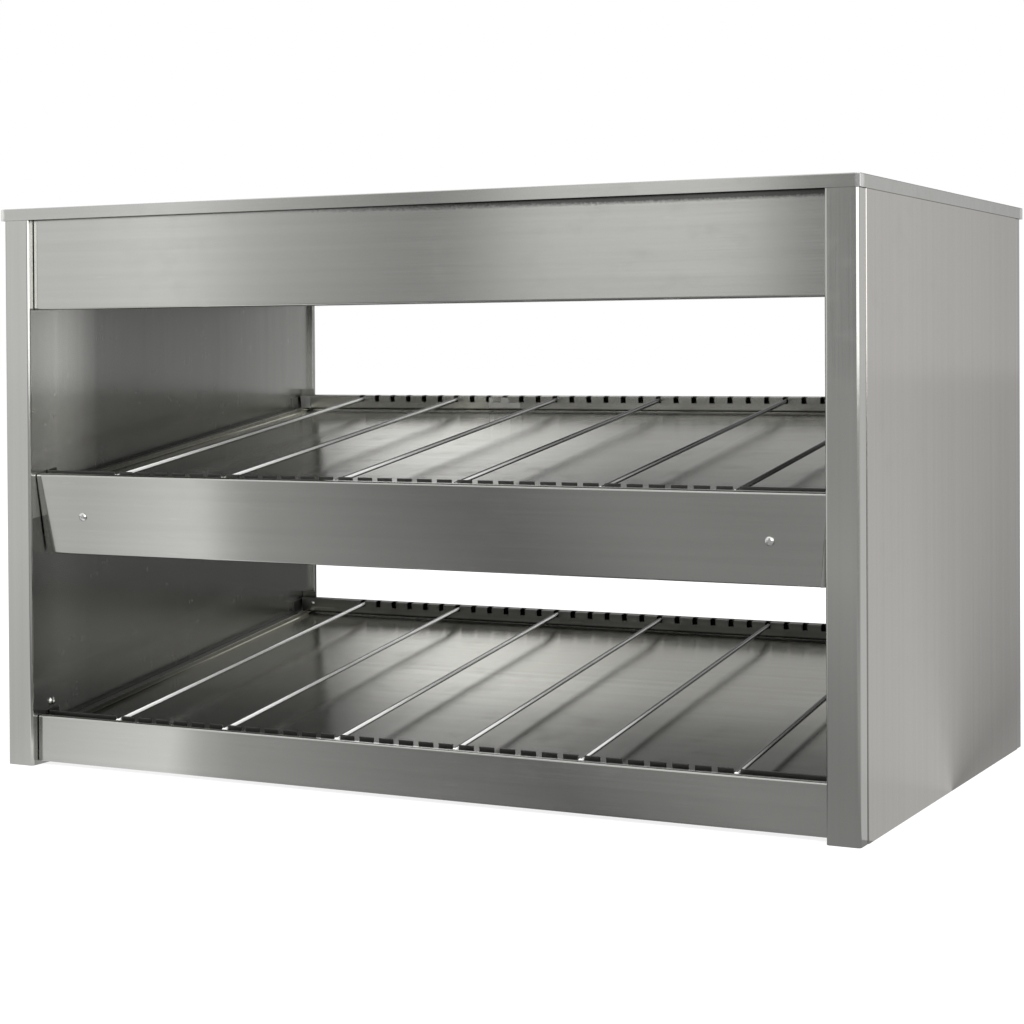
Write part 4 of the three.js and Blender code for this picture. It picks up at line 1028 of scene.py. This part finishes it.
# Small work on the rear rails: welds at the upper one's ends, a splice plate, rivets at the lower one's
railValues = {
    "origin": {"upper": (0, -0.257, 0.313), "lower": (0, -0.257, 0.052)}, "front": 0.512,
    "weldNear": 0.4432, "weldFar": 0.4295, "weldLow": -0.0112, "weldHigh": 0.0036, "weldRise": 0.0003,
    "weldSunk": 0.0004, "weldCuts": 14, "weldBumps": 0.0006,
    "splice": (  # left, right, low and high of its tongues
        (-0.1694, -0.1266, -0.0095, -0.0031), (-0.1531, -0.1426, -0.0033, 0.0030),
        (-0.1694, -0.1649, -0.0033, 0.0030),
    ),
    "spliceSheet": 0.0008, "spliceSunk": 0.0002, "spliceEdge": 0.0002, "rivetCut": 0.1,
    "rivetAcross": 0.4273, "rivetHeight": -0.0012, "rivetRadius": 0.0026, "rivetRise": 0.0012,
}
weldBumps = bpy.data.textures.new("weld_bumps", "CLOUDS")
weldBumps.noise_scale = 0.0022


def onTier(piece, tier):  # from the tier's own level directions to the leaning tier
    piece.rotation_euler.x = tierSlope
    piece.location = railValues["origin"][tier]
    settle(piece)


face = railValues["front"]
for side, name in sides:
    left, right = sorted((side * railValues["weldNear"], side * railValues["weldFar"]))
    low = (left, face - railValues["weldRise"], railValues["weldLow"])
    weld = addBox(low, (right, face + railValues["weldSunk"], railValues["weldHigh"]))
    openMesh(weld, "FACE", "SELECT")
    bpy.ops.mesh.subdivide(number_cuts=railValues["weldCuts"])
    closeMesh()
    applyModifier(weld, "DISPLACE", texture=weldBumps, strength=railValues["weldBumps"], mid_level=0.5)
    smooth(weld, 60)
    onTier(weld, "upper")
    dress(weld, f"upper_rear_rail_{name}_weld", weldSteel)
    rivet = addDome(36, 1, railValues["rivetCut"], 1)
    closeMesh()
    rivet.scale = (railValues["rivetRadius"], railValues["rivetRise"], railValues["rivetRadius"])
    rivet.location = (side * railValues["rivetAcross"], face, railValues["rivetHeight"])
    settle(rivet)
    smooth(rivet, 50)
    onTier(rivet, "lower")
    dress(rivet, f"lower_rear_rail_{name}_rivet", screwSteel)
front, back = face - railValues["spliceSheet"], face + railValues["spliceSunk"]
tongues = [addBox((left, front, low), (right, back, high)) for left, right, low, high in railValues["splice"]]
splice = joinPieces(tongues)
softenEdges(splice, railValues["spliceEdge"])
onTier(splice, "upper")
dress(splice, "upper_rear_rail_splice", splicePlate)

# Narrow cover strips between each heated plate and the walls, with a turned edge along the plate
stripValues = {
    "wallSide": 0.4470, "plateSide": 0.4364, "front": 0.019, "back": 0.494, "top": -0.0105,
    "sheet": 0.001, "edge": 0.0035, "round": 0.0001,
}
top, under = stripValues["top"], stripValues["top"] - stripValues["sheet"]
for tier in tiers:
    for side, name in sides:
        inner = side * stripValues["plateSide"]
        turned = inner + side * stripValues["sheet"]
        left, right = sorted((inner, side * stripValues["wallSide"]))
        strip = addBox((left, stripValues["front"], under), (right, stripValues["back"], top))
        openMesh(strip, "FACE", "SELECT")
        bpy.ops.mesh.bisect(plane_co=(turned, 0, 0), plane_no=(1, 0, 0))
        bpy.ops.mesh.select_all(action="DESELECT")
        selectFaces(
            strip,
            lambda centre, normal: normal.z < -0.9 and abs(centre.x - inner) < stripValues["sheet"],
        )
        extrude(0, 0, -stripValues["edge"])
        closeMesh()
        softenEdges(strip, stripValues["round"])
        onTier(strip, tier)
        dress(strip, f"{tier}_{name}_cover_strip", stripSteel)
print("rail details done")


# Studio: pale floor, white background, soft lamps, and a tent that only the metal reflects
studioValues = {
    "plainLight": 0.96, "floorGlow": 0.83, "floorPaint": 0.19, "reach": 40.0, "tentHeight": 60.0,
    # painted reflection: floor tones that only the metal sees, in place of dark and pale cards
    "frontFloor": (  # cards on the floor, along a line that slants away from the case's front
        (-0.6, 0.75), (-0.3, 0.65), (-0.09, 0.97), (-0.05, 0.6), (0.0, 0.43), (0.2, 0.28), (0.4, 0.17),
        (0.6, 0.32), (0.8, 0.3), (1.5, 0.45), (2.5, 0.4),
    ),
    "rearFloor": (  # by bearing from a spot near the right side, 0 straight behind
        (-90, 0.55), (-25, 0.5), (9, 0.34), (14, 0.44), (18, 0.66), (90, 0.6),
    ),
    "floorSlant": -0.69, "floorTurn": -0.25, "rearSpot": 0.48,
    "frontTent": (  # cards and gaps, by bearing: 0 straight ahead of the front, 90 to the right
        (-90, 0.55), (-45, 0.85), (-38, 0.8), (-36, 1.15), (-34, 0.7), (-28.5, 0.27), (-26, 0.9), (-20, 0.95),
        (-19, 0.3), (6, 0.4), (14, 2.0), (90, 2.2),
    ),
    "rearTent": (  # 0 straight behind the case
        (-90, 0.55), (-45, 0.5), (-35, 0.06), (-32, 1.2), (-30, 1.2), (-25.5, 0.5), (0, 0.4), (9, 0.25),
        (18, 0.7), (24, 0.7), (36.5, 0.14), (38, 0.35), (58, 0.6), (68, 2.0), (90, 2.2),
    ),
}


def onlyForMetal(piece):
    for ray in ("camera", "diffuse", "shadow", "transmission", "volume_scatter"):
        setattr(piece, "visible_" + ray, False)


def makeGlow(name):
    material, tree, unused = startMaterial(name)
    tree.nodes.remove(unused)
    light = addNode(tree, "Emission", {"Strength": 1.0})
    tree.links.new(light.outputs[0], tree.nodes["Material Output"].inputs["Surface"])
    spot = addNode(tree, "SeparateXYZ", {"Vector": addNode(tree, "TexCoord").outputs["Object"]})
    return material, tree, light, spot


def toneByBearing(tree, across, along, stops):
    bearing = addMath(tree, "MULTIPLY", addMath(tree, "ARCTAN2", across, along), 180 / math.pi)
    return addRamp(tree, bearing, stops)


world = bpy.data.worlds.new("studio")
bpy.context.scene.world = world
world.use_nodes = True
worldTree = world.node_tree
plainLight = worldTree.nodes["Background"]
feed(worldTree, plainLight, {"Color": (1, 1, 1, 1), "Strength": studioValues["plainLight"]})
whiteBack = addNode(worldTree, "Background", {"Color": (1, 1, 1, 1), "Strength": 1.0})
path = addNode(worldTree, "LightPath")
seen = addMath(worldTree, "MAXIMUM", path.outputs["Is Camera Ray"], path.outputs["Is Glossy Ray"])
seen = addMath(worldTree, "MAXIMUM", seen, path.outputs["Is Transmission Ray"])
worldMix = addNode(worldTree, "MixShader", {0: seen, 1: plainLight.outputs[0], 2: whiteBack.outputs[0]})
worldTree.links.new(worldMix.outputs[0], worldTree.nodes["World Output"].inputs["Surface"])

floor = addShape(bpy.ops.mesh.primitive_plane_add, size=2 * studioValues["reach"])
floor.name = "studio_floor"
floorPaint, tree, mirrored, spot = makeGlow("floor_paint")
slanted = addMath(tree, "MULTIPLY", spot.outputs["Y"], studioValues["floorSlant"])
slanted = addMath(tree, "ADD", spot.outputs["X"], slanted)
isRear = addMath(tree, "GREATER_THAN", spot.outputs["Y"], studioValues["floorTurn"])
frontTone = addRamp(tree, slanted, studioValues["frontFloor"])
aside = addMath(tree, "SUBTRACT", spot.outputs["X"], studioValues["rearSpot"])
rearTone = toneByBearing(tree, aside, spot.outputs["Y"], studioValues["rearFloor"])
tree.links.new(addMix(tree, isRear, frontTone, rearTone), mirrored.inputs["Color"])
lit = addNode(tree, "BsdfDiffuse", {"Color": (0.8, 0.8, 0.8, 1)})
shade = addNode(tree, "BsdfDiffuse", {"Color": (studioValues["floorPaint"],) * 3 + (1,)})
glow = addNode(tree, "Emission", {"Color": (1, 1, 1, 1), "Strength": studioValues["floorGlow"]})
white = addNode(tree, "AddShader", {0: shade.outputs[0], 1: glow.outputs[0]})
path = addNode(tree, "LightPath")
seen = addMath(tree, "MAXIMUM", path.outputs["Is Camera Ray"], path.outputs["Is Transmission Ray"])
plain = addNode(tree, "MixShader", {0: seen, 1: lit.outputs[0], 2: white.outputs[0]})
whole = addNode(
    tree, "MixShader", {0: path.outputs["Is Glossy Ray"], 1: plain.outputs[0], 2: mirrored.outputs[0]},
)
tree.links.new(whole.outputs[0], tree.nodes["Material Output"].inputs["Surface"])
floor.data.materials.append(floorPaint)

tent = addShape(
    bpy.ops.mesh.primitive_cylinder_add,
    vertices=180, radius=studioValues["reach"], depth=studioValues["tentHeight"], end_fill_type="NOTHING",
)
tent.name = "studio_tent"
tentCloth, tree, light, spot = makeGlow("tent_cloth")
ahead = addMath(tree, "MULTIPLY", spot.outputs["Y"], -1.0)
frontTone = toneByBearing(tree, spot.outputs["X"], ahead, studioValues["frontTent"])
rearTone = toneByBearing(tree, spot.outputs["X"], spot.outputs["Y"], studioValues["rearTent"])
isRear = addMath(tree, "GREATER_THAN", spot.outputs["Y"], 0.0)
tree.links.new(addMix(tree, isRear, frontTone, rearTone), light.inputs["Color"])
tent.data.materials.append(tentCloth)
onlyForMetal(tent)

# A dark flag behind the lower opening, for the inner walls of the lower tier
flagValues = {"low": (-0.45, 0.60, 0.0), "high": (0.45, 0.61, 0.235), "level": 0.12}
flag = addBox(flagValues["low"], flagValues["high"])
flag.name = "studio_flag"
flagCloth, tree, light, spot = makeGlow("flag_cloth")
light.inputs["Color"].default_value = (flagValues["level"],) * 3 + (1,)
flag.data.materials.append(flagCloth)
onlyForMetal(flag)

lampSettings = {
    "key_lamp": {"place": (-2.6, -3.4, 3.0), "size": 2.2, "power": 240},
    "fill_lamp": {"place": (3.2, -2.2, 2.4), "size": 2.0, "power": 145},
    "rear_lamp": {"place": (0.6, 3.6, 2.8), "size": 2.2, "power": 150},
}
lampAim = Vector((0, 0, 0.3))
for name, values in lampSettings.items():
    deselectAll()
    bpy.ops.object.light_add(type="AREA", location=values["place"])
    lamp = bpy.context.object
    lamp.name = name
    lamp.data.shape = "SQUARE"
    lamp.data.size = values["size"]
    lamp.data.energy = values["power"]
    lamp.visible_camera = False
    lamp.visible_glossy = False  # the tent stands for them in the metal
    aim = lampAim - Vector(values["place"])
    lamp.rotation_euler = aim.to_track_quat("-Z", "Y").to_euler()

# The camera stands where the photograph's did, for a square picture
cameraValues = {
    "place": (1.0997, -2.1780, 0.4416), "lens": 78.13, "sensor": 36, "shiftY": -0.129,
    "right": (0.890984, 0.453999, -0.005687), "down": (0.000354, -0.013221, -0.999913),
    "ahead": (-0.454035, 0.890904, -0.011941),
}
deselectAll()
bpy.ops.object.camera_add(location=cameraValues["place"])
camera = bpy.context.object
right, down, aim = (Vector(cameraValues[name]) for name in ("right", "down", "ahead"))
camera.rotation_euler = Matrix((right, -down, -aim)).transposed().to_euler()
camera.data.lens = cameraValues["lens"]
camera.data.sensor_width = cameraValues["sensor"]
camera.data.shift_y = cameraValues["shiftY"]
bpy.context.scene.camera = camera
bpy.context.scene.view_settings.view_transform = "Standard"
print("studio ready")
